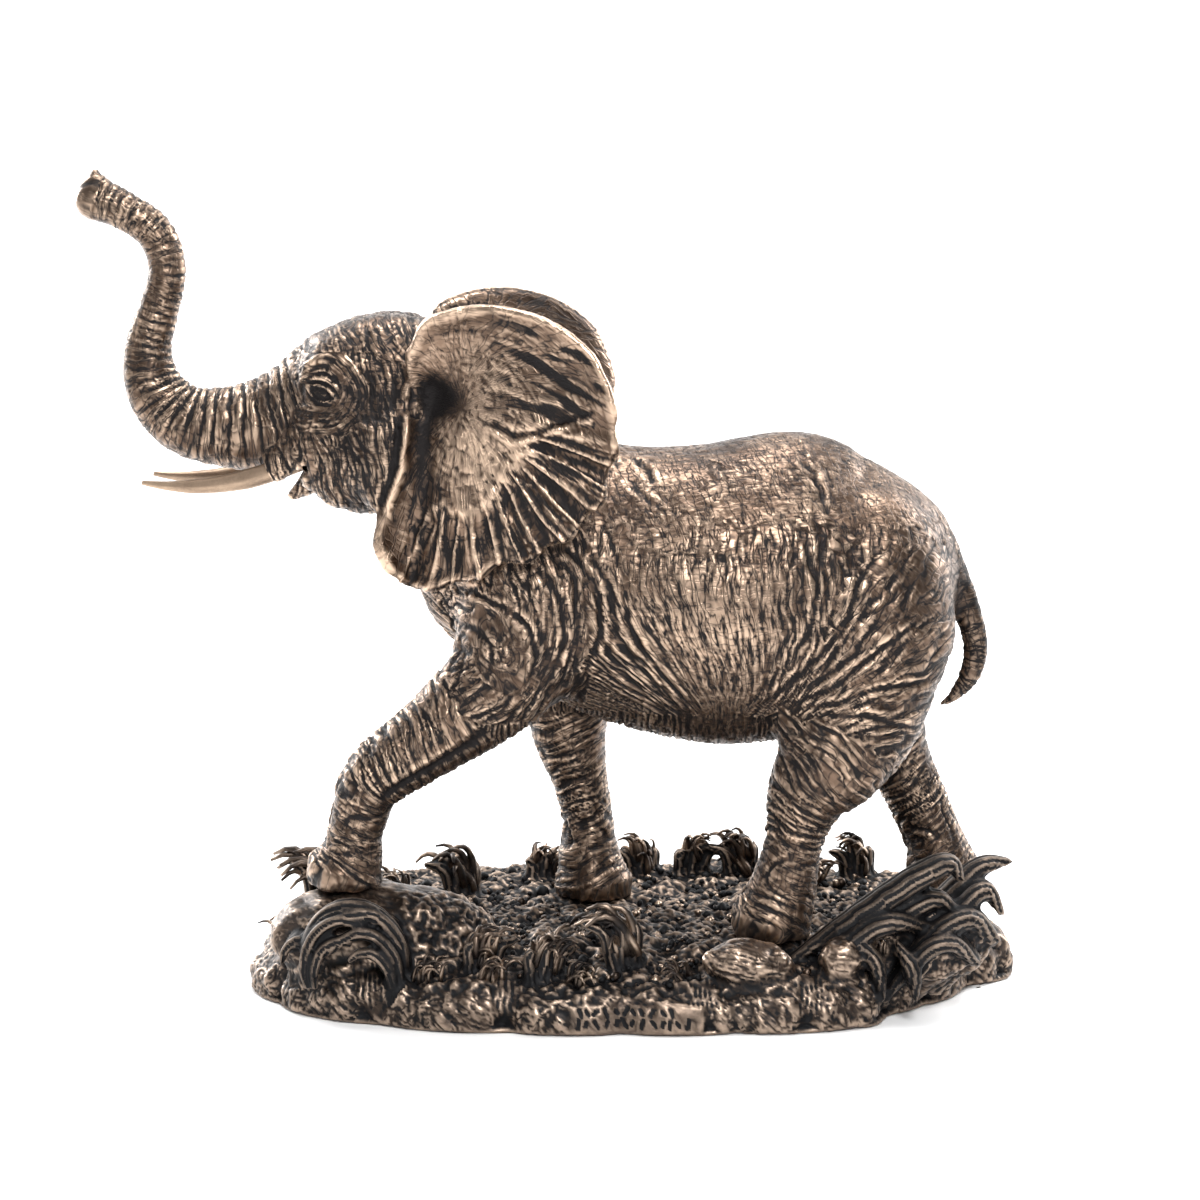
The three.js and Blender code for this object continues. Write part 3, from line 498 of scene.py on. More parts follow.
earForm = {"low": np.array([-78.0, -66, 88]), "high": np.array([2.0, -12, 184]),
           "distance": earDistance, "soften": 3.5}


eyeForms = [
    lump([-86, -17.2, 161.5], [8.5, 5.2, 4.6], 4, -28),
    lump([-87.6, -18.6, 153.4], [4.4, 3.6, 3.5], 1.2),
    lump([-86.5, -19.5, 148.8], [5.5, 2.6, 1.7], 1.6, 12),
]
flankForms = [
    lump([-78, -15.5, 137], [17, 11, 18], 8),
    lump([-70, -10.5, 158.5], [15.5, 12, 15], 8),
    lump([-82, -12, 158], [9, 9, 11], 8),
    limb([[-80, -14.5, 142, 10, 8], [-90, -13.6, 135.5, 7.4, 7], [-99.5, -13, 131.6, 5.2, 5.2]], 5),
    lump([-68, -26, 136], [11, 7, 15], 6),
]
legForms = [
    limb([[-26, -20, 92, 23, 17], [-39, -24, 72.5, 16, 14.5], [-56, -25, 58, 11.8, 12.5],
          [-72.8, -25, 45.6, 9.8, 11.5], [-78, -24.5, 33, 8.2, 10], [-79.8, -24.5, 24, 9, 10.6],
          footStation("nearFront", 4.6, 11.4, soleRadius)], 7),
    limb([[-22, 19, 88, 20, 16], [-20, 21, 62, 13.6, 13], [-18.8, 22, 48, 11, 11.4],
          [-15.8, 22, 35, 8.4, 9.8], [-13.6, 22, 22, 8, 9.8], [-13.3, 22, 12, 9.6, 11.2],
          footStation("farFront", 4, 12, soleRadius)], 7),
    limb([[64, -17, 86, 25, 18], [60, -22, 64, 21, 16.5], [54.5, -25, 51, 16.6, 15],
          [47.8, -25, 40, 11.6, 12.5], [44.4, -25, 28, 8.7, 10.5], [41.8, -25, 15, 9.5, 11],
          footStation("nearHind", 5, 12, soleRadius)], 7),
    limb([[65, 16, 82, 23, 17], [71, 21, 60, 15.5, 14.5], [76.6, 24, 44, 10.6, 12],
          [83, 24, 31, 9.2, 10.5], [88.8, 24, 17, 9.1, 10.8], footStation("farHind", 4, 12, soleRadius)], 7),
]
bodyForm = limb([[-36, 0, 102, 27, 26], [-17, 0, 100, 36.5, 32], [5, 0, 95.6, 41, 36.5],
                 [27, 0, 93.8, 43.3, 38.5], [48, 0, 96.2, 41.4, 36], [62, 0, 95.5, 34, 29.5]], 7)
trunkForm = limb([[-151.6, 0, 205.6, 6, 6], [-144.6, 0, 203.1, 5.7, 5.7], [-135, 0, 196.5, 5.5, 5.7],
                  [-131.7, 0, 186, 5.4, 5.8], [-134.5, 0, 174.5, 6, 6.4], [-137.6, 0, 163, 6.9, 7.2],
                  [-135.5, 0, 151.8, 8.6, 8.6], [-127, 0, 143.6, 10.2, 10], [-113, 0, 141.6, 12.2, 11.6],
                  [-98, 0, 143.5, 16, 14.5], [-83, 0, 149, 21, 18]], 7)
tailForm = limb([[82, 0, 112, 6, 7], [88, 0, 105, 4.8, 5.4], [92.6, 0, 96, 4.2, 4.2], [95.8, 0, 87, 3.9, 3.9],
                 [97.6, 0, 77.5, 3.8, 3.6], [95.6, 0, 69.5, 3.2, 3], [91, 0, 63.8, 1.9, 1.8],
                 [87.8, 0, 61.8, 1, 1]], 3)
temple = lump([-73, -29.5, 156], [8, 4.2, 9], 4, 20)


def mouthDistance(x, y, z):
    # A wedge that opens down and ahead from the corner of the mouth
    ahead, up = x + 90.8, z - 133.3
    return np.maximum(-0.57 * ahead + 0.82 * up, 0.862 * ahead - 0.507 * up)


mouthForm = {"low": np.array([-112.0, -30, 112]), "high": np.array([-88.0, 30, 135]),
             "distance": mouthDistance, "soften": 1.6}
figureForms = [
    bodyForm,
    lump([47, 0, 119], [24, 15, 18], 12, 6),
    lump([73, 0, 103], [16, 15, 19], 9),
    limb([[-66, 0, 144, 25, 23], [-50, 0, 134, 26, 24], [-32, 0, 116, 29, 27]], 10),
    lump([-66, 0, 145], [26, 25, 27.5], 7),
    trunkForm,
    limb([[-148.4, 0, 207, 3.6, 4.4], [-150.6, 0, 210.6, 2.5, 3.4], [-151.6, 0, 213, 1.5, 2]], 2),
    lump([-27, -21, 100], [19, 14, 27], 8, -18),
    lump([-25, 21, 98], [19, 13, 26], 8, -10),
    lump([63, -17, 90], [23, 18.5, 34], 8, 10),
    lump([64, 17, 88], [22, 17.5, 32], 8, -8),
    *legForms,
    *flankForms,
    *map(acrossBody, flankForms),
    earForm,
    acrossBody(earForm),
    hollow(mouthForm),
    limb([[-66, 0, 131, 12, 12], [-82, 0, 129.6, 6, 9.5], [-90, 0, 127.2, 4.2, 7.4],
          [-94, 0, 124.4, 3, 5], [-97.2, 0, 122.4, 1.9, 2.6]], 2),
    hollow(temple),
    hollow(acrossBody(temple)),
    *eyeForms,
    *map(acrossBody, eyeForms),
    hollow(limb([[-163, 0, 207.4, 3.4, 3], [-156, 0, 206.4, 2.7, 2.4], [-150, 0, 204.6, 1.7, 1.5]], 1)),
    tailForm,
]


def soleCut(foot):
    # Everything under a sole is taken away
    x, y, z = feet[foot]
    half = soleRadius * 1.5
    low, high = np.array([x - half, y - half, z - 20]), np.array([x + half, y + half, z])

    def distance(px, py, pz):
        return np.maximum(np.maximum(np.abs(px - x), np.abs(py - y)) - half, pz - z)

    return hollow({"low": low, "high": high, "distance": distance, "soften": 0.4})


def belongs(form, x, y, z, width=3.0):
    # One on a form's own surface, and less on the surfaces that it melts into
    share = np.zeros(len(x))
    inside = closeTo(form, x, y, z, width)
    away = form["distance"](x[inside], y[inside], z[inside])
    share[inside] = np.clip(1 - np.maximum(away, 0) / width, 0, 1)
    return share


def alongLimb(form, x, y, z, width=3.0):
    # How far a point belongs to a limb, its offsets as shares of the girth, and its arc length
    inside = closeTo(form, x, y, z, width)
    up, side, along, high, wide, travelled = followLine(form["knots"], x[inside], y[inside], z[inside])
    away = sectionDistance(up, side, along, high, wide, np.minimum(high, wide))
    values = np.zeros((5, len(x)))
    share = np.clip(1 - np.maximum(away, 0) / width, 0, 1)
    values[:, inside] = [share, up / high, side / wide, travelled, high]
    return values


def fromPath(x, z, path):
    # Distance in the side view from a line through the given points
    best = np.full(np.shape(x), 1e3)
    for (startX, startZ), (endX, endZ) in zip(path, path[1:]):
        alongX, alongZ = endX - startX, endZ - startZ
        share = ((x - startX) * alongX + (z - startZ) * alongZ) / (alongX ** 2 + alongZ ** 2)
        share = np.clip(share, 0, 1)
        best = np.minimum(best, np.hypot(x - startX - share * alongX, z - startZ - share * alongZ))
    return best


earFan = {"centre": (-48, 150), "spacing": 8.2, "first": -19, "last": 74,
          "flap": [(-63.7, 147), (-64.9, 133.5), (-68.6, 124.3), (-70.2, 115.4), (-68.6, 105)],
          "fold": [(-39, 144.5), (-33.8, 141.1), (-25.1, 143.1), (-22.1, 145.1), (-12.7, 148)],
          "band": [(-56.2, 154), (-57.8, 145), (-58.4, 130), (-57, 119)],
          "brow": [(-61.6, 157), (-59.6, 164.5), (-55, 169.6), (-47, 171.4), (-36, 171)]}


def earRelief(x, z):
    # Carving of an ear's outer face: height, how dark it is washed and how much painted highlight lightens
    # its smooth middle
    nought = 0 * x
    centreX, centreZ = earFan["centre"]
    fromCentre = np.hypot(x - centreX, z - centreZ)
    fan = np.degrees(np.arctan2(x - centreX, centreZ - z))
    first, last = earFan["first"], earFan["last"]
    within = window(fan, first - 5, first + 2, last, last + 6)
    wander = noise(fan / 14, fromCentre / 16, nought, 55) * 2.4
    phase = np.pi * (fan + wander - first) / earFan["spacing"]
    cellNumber = np.floor(phase / np.pi + 0.5)
    rib = bump(np.sin(phase), 0.34 + 0.16 * np.sin(cellNumber * 2.3))
    cellStart = 28 - 8 * smoothstep(fan, 0, 45) + 3.0 * noise(fan / 7, nought, nought, 56)
    cell = smoothstep(fromCentre, cellStart, cellStart + 5) * within
    streaks = noise(fan / 1.7, fromCentre / 9, nought, 58)
    height = (-1.1 + 0.5 * streaks) * (1 - rib) * cell + 0.35 * bump(fromCentre - cellStart, 1.4) * within
    back, up = x - ear["middle"][0], z - ear["middle"][1]
    rim = earReach(np.arctan2(up, back)) - np.hypot(back, up)
    edge = smoothstep(rim, 0.6, 3)
    dark = (1 - rib) * cell * (0.1 - 1.4 * streaks) * edge
    height += 0.7 * bump(rim - 0.8, 1.2) * (0.4 + 0.6 * (1 - within))
    fromBrow = fromPath(x, z, earFan["brow"])
    browEnd = 1 - smoothstep(x, -44, -34)
    height += (0.7 * bump(rim - 2.2, 1.5) - 0.25 * bump(fromBrow, 0.8)) * browEnd
    dark += 0.1 * bump(fromBrow, 0.8) * browEnd
    height += 0.9 * bump(fromPath(x, z, earFan["flap"]), 1.7)
    fromBand = fromPath(x, z, earFan["band"])
    bandWidth = 2.8 + 2.4 * smoothstep(-z, -145, -120)
    height -= 1.2 * bump(fromBand, bandWidth)
    fade = 0.05 + 0.45 * smoothstep(z, 118, 150) + 0.8 * noise(x / 1.5, z / 12, nought, 59)
    fromHole = np.hypot((x + 54.5) / 1.5, z - 152.5)
    height -= 1.2 * bump(fromHole, 4)
    dark += fade * bump(fromBand, bandWidth + 1) + 0.75 * bump(fromHole, 5.5)
    height += 0.8 * bump(fromPath(x, z, earFan["fold"]), 1.1)
    height -= 0.6 * bump(fromPath(x, z - 2.0, earFan["fold"]), 0.9)
    upper = smoothstep(z - 0.12 * (x + 38), 143, 149) * smoothstep(x, -44, -26) * edge
    down, over = 0.9 * x - 0.43 * z, 0.43 * x + 0.9 * z
    streak = noise(down / 15, over / 3.4, nought, 57)
    dark += upper * (0.12 + 0.75 * smoothstep(streak, 0, 0.25))
    height -= 0.5 * upper * smoothstep(streak, 0, 0.2)
    # Painted highlight: the ear's smooth middle is lightened towards gold
    paintedHighlight = (1 - 0.7 * cell) * bump(np.hypot(x + 37, (z - 136) / 1.5), 19) * np.clip(1 - 2 * dark, 0, 1)
    return height, dark, paintedHighlight


eye = {"centre": (-87.0, 152.9), "along": (0.927, -0.375), "up": (0.375, 0.927),
       "brow": [(-92.2, 156.6), (-91.2, 159.4), (-88.4, 162.3), (-83.7, 165.3)]}


def eyeRelief(x, z):
    # Eyeball between its lids, the folded upper lid and the overhanging brow
    dx, dz = x - eye["centre"][0], z - eye["centre"][1]
    u = dx * eye["along"][0] + dz * eye["along"][1]
    v = dx * eye["up"][0] + dz * eye["up"][1]
    ball = np.hypot(u / 2.4, v / 1.3)
    share = 1 - smoothstep(np.abs(u), 2.8, 5.6)
    height = 0.5 * np.clip(1 - ball * ball, 0, 1) - 0.6 * bump(ball - 1.08, 0.16)
    dark = 0.8 * bump(ball - 1.12, 0.26) + 0.6 * bump(np.hypot(u + 0.3, v), 1.2) + 0.3 * (ball < 1)
    arch = 0.085 * u * u
    height += (0.8 * bump(v - 2.1 + arch, 0.6) - 0.6 * bump(v - 3.1 + arch, 0.5)
               + 0.6 * bump(v - 4.3 + arch, 0.8) - 0.5 * bump(v - 5.5 + arch, 0.5)) * share
    dark += (0.4 * bump(v - 3.1 + arch, 0.5) + 0.3 * bump(v - 5.5 + arch, 0.5)) * share
    height += (0.5 * bump(v + 1.8 - arch * 1.2, 0.5) - 0.5 * bump(v + 2.8 - arch * 1.2, 0.5)) * share
    dark += 0.45 * bump(v + 2.8 - arch * 1.2, 0.5) * share
    height += 1.3 * bump(fromPath(x, z, eye["brow"]), 1.3)
    return height, dark, np.hypot(u / 4.6, v / 4.4)


# The deepest folds of the flank, hip and shoulder in the side view
carvedFolds = [
    [(48.5, 122.4), (50.1, 115.5), (51.7, 106.2), (51.4, 96.9), (48.4, 86.7), (42.3, 78.1), (34.7, 70.3),
     (28.5, 64.8)],
    [(44.3, 118.6), (47.8, 109.3), (49.5, 100), (48, 90.6), (43.8, 82.8), (38.5, 76.1), (32.4, 70.3)],
    [(54, 103.1), (54.1, 95.3), (51.1, 86.7), (45.4, 78.1), (37.8, 70.3), (32.4, 65.5)],
    [(60.9, 109.3), (60.6, 101.5), (58.4, 93.7), (53.1, 85.2), (47, 78.1), (40.1, 71), (33.2, 64.8)],
    [(67.5, 103.1), (63, 95.3), (56.9, 85.9), (50.8, 78.1), (43.2, 70.3), (35.5, 64.8)],
    [(72.9, 104.6), (69.9, 96.9), (64.6, 89.1), (57, 80.5), (50.9, 74.2), (43.2, 68.7), (37.8, 65.5)],
    [(78.4, 91.4), (69.3, 85.2), (60.9, 78.9), (54.7, 73.8), (47.1, 69.5), (40.1, 65.5)],
    [(38.9, 120.1), (42.4, 112.4), (44.4, 103.1), (43.7, 93.7), (40.7, 85.2), (36.2, 78.1)],
    [(-7.5, 98.4), (-5.6, 88.3), (-0.9, 79.7), (5.3, 71.8), (12.3, 65.5)],
    [(-11.3, 98.4), (-9.4, 85.9), (-4.8, 77.3), (1.4, 70.3), (9.2, 64)],
    [(-13.3, 85.9), (-9.4, 78.1), (-3.2, 71), (3.7, 65.5)],
    [(-4.4, 100), (-1.7, 90.6), (2.9, 81.2), (9.1, 73.4), (15.3, 66.3)],
    [(-7.9, 141.7), (-2.5, 136.3), (3.6, 129.4), (12.8, 118.6)],
    [(-9.4, 137.1), (-4.1, 131.7), (2.1, 125.5), (8.2, 120.1)],
    [(-3.3, 137.1), (2.1, 132.5), (5.9, 127.1)],
    [(-10.2, 130.2), (-5.6, 124), (-1.8, 118.6)],
    [(45.6, 137.1), (49.5, 129.4), (51.9, 122.4), (54.6, 117.8)],
    [(76.6, 110.8), (72.1, 104.6), (65.3, 96.9), (60.7, 90.6)],
    [(78.6, 80.5), (70.9, 78.9), (63.2, 75.8), (55.5, 71.8), (48.6, 68.7)],
    [(81.8, 74.2), (73.3, 73.4), (64.8, 71.8), (56.3, 69.5), (47.9, 67.1)],
    [(79.6, 66.3), (71.1, 67.9), (62.5, 68.3), (53.3, 67.9), (45.5, 66.3)],
    [(75, 60.8), (67.2, 64), (59.5, 65.5), (51, 65.9)],
    [(-35.6, 110.2), (-27.3, 106), (-21.2, 98.7), (-19.1, 89.3), (-22.2, 78.8), (-26.4, 70.4)],
    [(-31.4, 111.2), (-22.2, 107.1), (-16, 97.7), (-15, 87.2), (-18.1, 76.7), (-22.3, 68.3)],
    [(-25.3, 113.3), (-17, 109.1), (-10.8, 98.7), (-10.3, 87.2), (-14, 76.7), (-18.1, 67.2)],
    [(-19.1, 116.4), (-11.9, 109.1), (-6.7, 97.7), (-6.7, 86.2), (-10.9, 74.6)],
    [(-12.9, 124.7), (-6.7, 112.3), (-2.6, 99.8), (-2.8, 87.2)],
    [(-53.2, 99.8), (-43.9, 98.2), (-35.6, 94.5), (-29.5, 89.3), (-27.4, 80.9), (-30.5, 73.6)],
    [(-51.1, 95.6), (-42.9, 94), (-36.7, 89.3), (-34.1, 82), (-36.8, 74.6)],
    [(-50.1, 90.4), (-42.9, 87.2), (-39.8, 80.9), (-41.9, 74.6)],
]


def groove(x, z, path):
    # Distance from a carved fold and its strength, which fades out at both ends
    line = catmullRom(path, 3)
    low, high = line.min(0) - 5, line.max(0) + 5
    inside = (x > low[0]) & (x < high[0]) & (z > low[1]) & (z < high[1])
    px, pz = x[inside], z[inside]
    best, place = np.full(len(px), 1e3), np.zeros(len(px))
    for n, (start, end) in enumerate(zip(line, line[1:])):
        along = end - start
        share = np.clip(((px - start[0]) * along[0] + (pz - start[1]) * along[1]) / (along @ along), 0, 1)
        found = np.hypot(px - start[0] - share * along[0], pz - start[1] - share * along[1])
        place = np.where(found < best, (n + share) / (len(line) - 1), place)
        best = np.minimum(best, found)
    away, strength = np.full(len(x), 1e3), np.zeros(len(x))
    away[inside] = best
    strength[inside] = np.sqrt(np.clip(4 * place * (1 - place), 0, 1))
    return away, strength


def skinRelief(points, normals):
    # Height of the carving in millimetres, its dark wash, its painted highlight and the skin's fold
    # coordinates.
    # Every place belongs to one family of folds, which run along lines of equal "across".
    x, y, z = points.T
    near = np.abs(y)
    third = y / 26
    nought = np.zeros(len(points))
    warp = noise(x / 10, y / 10, z / 10, 3) * 2.6
    warpFine = noise(x / 3.6, y / 3.6, z / 3.6, 4) * 0.7
    ragged = noise(x / 4, y / 4, z / 4, 5) * 0.5

    # Flank: upright folds that draw together under the belly
    rise = (z - 106) / 40
    pole = 14.5 + 10 * smoothstep(-z, -104, -64)
    across = (x - pole) / np.clip(1 - (0.2 + 0.4 * (z < 106)) * rise * rise, 0.3, 1)
    length = np.arctan2(near, z - 96) * 36
    deepShare = np.maximum(smoothstep(across, 20, 32), smoothstep(-across, 18, 30))
    deepShare *= 1 - smoothstep(z, 92, 122)
    coarsePitch, coarseDepth = nought + 3.6, 0.16 + 0.6 * deepShare
    finePitch, fineDepth = nought + 2.1, 0.2 + 0.14 * (1 - smoothstep(z, 84, 118))
    hatch = smoothstep(z, 100, 124)

    def overlay(share, newAcross, newLength, newCoarsePitch, newCoarseDepth, newFinePitch, newFineDepth):
        nonlocal across, length, coarsePitch, coarseDepth, finePitch, fineDepth
        chosen = share + ragged * (share > 0.02) > 0.5
        across, length = np.where(chosen, newAcross, across), np.where(chosen, newLength, length)
        coarsePitch = np.where(chosen, newCoarsePitch, coarsePitch)
        finePitch = np.where(chosen, newFinePitch, finePitch)
        coarseDepth = np.where(chosen, newCoarseDepth, coarseDepth)
        fineDepth = np.where(chosen, newFineDepth, fineDepth)
        return chosen

    girth = np.where(z > 100, z - near, z + near - 60)
    border = 0.9 * noise(x / 9, z / 9, third, 84) + 0.35 * noise(x / 3, z / 3, third, 85)
    overlay(np.clip(smoothstep(z, 104, 130) + border, 0, 1) * smoothstep(x, -16, -4) * smoothstep(z, 98, 106),
            x * 0.97 + girth * 0.2, x * 0.2 - girth * 0.97, 5.0, 0.05, 2.4, 0.14)
    # Thigh: folds that spread out from the groin
    groinX, groinZ = x - 36, z - 57
    fromGroin = np.hypot(groinX, groinZ)
    turned = np.arctan2(groinZ, groinX)
    thigh = smoothstep(x, 38, 44) * (1 - smoothstep(turned, 0.95, 1.25)) * window(z, 42, 50, 104, 118)
    thighDepth = 0.75 * smoothstep(fromGroin, 5, 12) * (1 - 0.5 * smoothstep(fromGroin, 36, 56))
    overlay(thigh, turned * 36, fromGroin, 3.6, thighDepth, 1.7, 0.26)
    # Shoulder: long folds round its back, and a swirl over the joint
    shoulder = window(x, -64, -56, -17, -10) * window(z, 60, 66, 116, 124)
    swept = np.hypot(x + 60, z - 94)
    overlay(shoulder * smoothstep(near, 12, 20), swept, np.arctan2(z - 94, x + 60) * 42, 3.8, 0.85, 1.6, 0.36)
    swirl = np.hypot(x + 38 + 0.25 * (z - 84), (z - 84) * 0.6)
    turn = np.arctan2((z - 84) * 0.6, x + 38)
    overlay((1 - smoothstep(swirl, 5, 11)) * smoothstep(near, 16, 22),
            swirl - 0.6 * turn + 0.5 * warp, turn * 9 + 0.3 * z, 2.6, 0.3, 1.9, 0.26)

    extra, dark, deepest = nought, nought, nought
    side = smoothstep(near, 8, 15)
    for n, path in enumerate(carvedFolds):
        away, strength = groove(x + 0.8 * warpFine + 0.35 * warp, z + 0.4 * warp, path)
        strength = strength * side * (0.42 + 0.3 * math.sin(2.4 * n)) * np.clip(1 + 2.2 * ragged, 0.2, 1.6)
        extra = extra + strength * (0.3 * bump(away - 1.7, 0.8) - bump(away, 0.72))
        deepest = np.maximum(deepest, strength * bump(away, 1.6))

    # Legs: folds across them, deepest in front, and a long flap down the back of the leading leg
    for n, form in enumerate(legForms):
        onLeg, up, side, travelled, high = alongLimb(form, x, y, z, 5)
        full = sum(np.linalg.norm(np.diff(form["knots"][:, :3], axis=0), axis=1))
        share = travelled / full
        onLeg = onLeg * smoothstep(share, 0.3, 0.42)
        ahead = -up
        around = np.arctan2(side, up)
        lean = (0.3 if n in (1, 3) else -0.25) * up * high
        knee = bump((share - 0.72) / 0.1, 1)
        deep = 0.35 + 0.35 * smoothstep(ahead, -0.3, 0.6) + 0.25 * knee
        overlay(onLeg, travelled + lean, around * 7, 2.7 - 0.5 * knee, deep, 1.4, 0.26 + 0.1 * knee)
        if n == 0:
            flap = up - 0.52 + 0.1 * noise(travelled / 12, nought, nought, 17)
            onFlap = onLeg * smoothstep(-side, 0, 0.25) * window(share, 0.3, 0.4, 0.66, 0.78)
            extra += onFlap * (-0.9 * bump(flap, 0.09) + 0.5 * bump(flap + 0.22, 0.12))
            dark = dark + onFlap * 0.7 * bump(flap, 0.1)

    # Head: folds down the cheek and rings round the eye
    head = smoothstep(-x, 42, 50) * smoothstep(z, 112, 120)
    onFace = head * (1 - smoothstep(-x - 0.3 * (z - 150), 86, 96))
    dark += onFace * (0.13 * smoothstep(noise(x / 9, z / 12, third, 83), -0.2, 0.35)
                      + 0.25 * bump(np.hypot((x + 70) / 1.5, z - 152), 6))
    overlay(head, x + 0.22 * (z - 150), z, 2.9, 0.5, 1.5, 0.34)
    crown = smoothstep(z + 0.35 * (x + 80), 164, 170)
    overlay(head * crown, x * 0.85 + z * 0.5, z * 0.6 - x * 0.5, 2.2, 0.35, 1.3, 0.34)
    eyeX, eyeZ = x - eye["centre"][0], z - eye["centre"][1]
    fromEye = np.hypot(eyeX, eyeZ * 1.1)
    overlay(head * (1 - smoothstep(fromEye, 10, 16)), fromEye + 0.12 * eyeX, np.arctan2(eyeZ, eyeX) * 6,
            2.2, 0.4, 1.3, 0.3)
    eyeHeight, eyeDark, eyeShape = eyeRelief(x, z)
    onEye = head * (1 - smoothstep(np.hypot(eyeX, eyeZ), 10, 13)) * smoothstep(near, 9, 12)
    calm = 1 - onEye * (1 - smoothstep(eyeShape, 0.85, 1.35))
    extra += onEye * eyeHeight
    dark += onEye * eyeDark

    # Ears
    outer = (normals[:, 1] * np.sign(y) > 0.05) * 1.0
    flap = np.array(earFan["flap"])[::-1]
    ahead = x - np.interp(z, flap[:, 1], flap[:, 0])
    onFlap = window(z, 113, 120, 144, 150) * smoothstep(near, 18, 22) * (x < -50)
    onEar = np.maximum(belongs(earForm, x, y, z, 1.5), belongs(acrossBody(earForm), x, y, z, 1.5))
    onEar = np.maximum(onEar, onFlap * smoothstep(ahead, -0.6, 0.4)) * smoothstep(x, -74, -70)
    earHeight, earDark, earHighlight = earRelief(x, z)
    fan = np.arctan2(x - earFan["centre"][0], earFan["centre"][1] - z)
    fromHole = np.hypot(x - earFan["centre"][0], z - earFan["centre"][1])
    earChosen = overlay(onEar, fan * 24 + 0.4 * x, fromHole + 0.3 * z, 5.0, 0.1, 1.5, 0.12)
    smoothPatch = np.clip(1 - 1.1 * earDark, 0.15, 1)
    extra = extra * (1 - onEar) + onEar * outer * earHeight
    dark = dark * (1 - onEar * outer) + onEar * outer * (earDark - 0.3)
    dark -= 0.1 * smoothstep(z, 112, 126) * (x > -10)
    extra += onFlap * (0.5 * bump(ahead - 1.1, 1.5) - 0.9 * bump(ahead + 1.3, 1.1))
    dark += onFlap * 0.3 * bump(ahead + 1.5, 1.2) * (1 + 2 * ragged)
    # Painted highlight: a broad gold patch on the flank where the key light's reflection falls
    bellyHighlight = 0.6 * bump(np.hypot(x - 16, (z - 98) / 0.9), 24) * smoothstep(near, 20, 30)
    paintedHighlight = onEar * outer * earHighlight + (1 - onEar) * bellyHighlight

    onTail, up, side, travelled, high = alongLimb(tailForm, x, y, z)
    onTail = onTail * smoothstep(x, 86, 90)
    overlay(onTail, travelled, np.arctan2(side, up) * 3, 2.2, 0.25, 1.6, 0.2)
    dark += 0.28 * onTail

    # Rings round the trunk, wide and deep by the face and close together at the tip
    onTrunk, up, side, travelled, high = alongLimb(trunkForm, x, y, z)
    onTrunk = onTrunk * smoothstep(-x - 0.3 * (z - 150), 88, 96)
    gauge = np.linspace(0, 170, 300)
    pitches = 2.0 + 2.3 * smoothstep(gauge, 25, 100)
    turns = np.interp(travelled, gauge, np.cumsum(170 / 300 / pitches))
    around = np.arctan2(side, up)
    ring = turns + 0.25 * noise(around * 1.2, travelled / 7, nought, 11)
    ring += 0.12 * noise(around * 4, travelled / 2, nought, 12)
    dorsal = smoothstep(up, -0.8, 0.2)
    ringDepth = (0.3 + 0.45 * smoothstep(travelled, 25, 100)) * (0.35 + 0.75 * dorsal)
    onTrunkHard = overlay(onTrunk, travelled, around * 5, 30.0, 0.0, 1.25, 0.2 + 0.1 * dorsal)
    extra += onTrunkHard * (-bump(np.sin(np.pi * ring), 0.4) * ringDepth)

    coarse = bump(noise((across + warp) / coarsePitch, length / (coarsePitch * 5), third, 71), 0.14)
    fine = bump(noise((across + warpFine + 0.5 * warp) / finePitch, length / (finePitch * 5.5),
                      third * 1.3, 72), 0.2)
    cross = bump(noise((length + warpFine) / 2.1, across / 9, third, 73), 0.12)
    crossShare = (0.10 + 0.10 * hatch) * (1 - onTrunkHard)
    tiny = bump(noise(x / 1.5 + warpFine, y / 1.5, z / 1.5, 74), 0.16) * 0.04
    coarse *= coarseDepth * (1 - 0.7 * deepest)
    height = -(coarse + fine * fineDepth + cross * crossShare + tiny) * calm
    height *= np.where(earChosen, smoothPatch, 1)
    worn = smoothstep(noise(x / 13, y / 13, z / 13, 82) + 0.25 * smoothstep(z, 70, 100), -0.25, 0.45)
    height = height * (1.12 - 0.3 * worn) + extra + noise(x / 0.9, y / 0.9, z / 0.9, 81) * 0.015
    folds = np.stack([(across + 0.5 * warp) / 1.45, length / 9, third * 3], -1)
    return height, dark, paintedHighlight, folds


skin = {"step": 1.15, "quickStep": 2.0, "triangles": 192000, "dark": (0.052, 0.034, 0.025, 1),
        "brown": (0.185, 0.124, 0.088, 1), "gold": (0.56, 0.41, 0.30, 1), "recess": (0.008, 0.006, 0.006, 1),
        "rough": 0.34, "metal": 1.0, "bump": 0.45, "folds": 0.065, "line": 0.72}


def soleHeight(points):
    # How far down each place may go: no lower than the sole under it
    lowest = np.full(len(points), -1e3)
    for x, y, z in feet.values():
        away = np.maximum(np.abs(points[:, 0] - x), np.abs(points[:, 1] - y))
        lowest = np.where((away < soleRadius * 1.45) & (points[:, 2] < z + 0.6), z, lowest)
    return lowest


def skinPiece():
    report("elephant")
    forms = figureForms + [soleCut(foot) for foot in feet]
    points, faces, proud, relief, (dark, paintedHighlight, folds) = carved(forms, skin, skinRelief, soleHeight)
    # Wear on proud ridges is real, and the painted highlight on the flank and ear adds to it
    attributes = {
        "depth": np.clip(-proud / 0.32, 0, 1) * 0.75 + np.clip(-relief / 0.9, 0, 1) * 0.35 + dark,
        "wearAndHighlight": np.clip(proud / 0.3 + 0.75 * paintedHighlight, 0, 1) * np.clip(1 - dark, 0, 1), "folds": folds}
    makePiece("elephant_skin", points, faces, attributes, skin["triangles"], bronze("skin", skin),
              "elephant")


skinPiece()


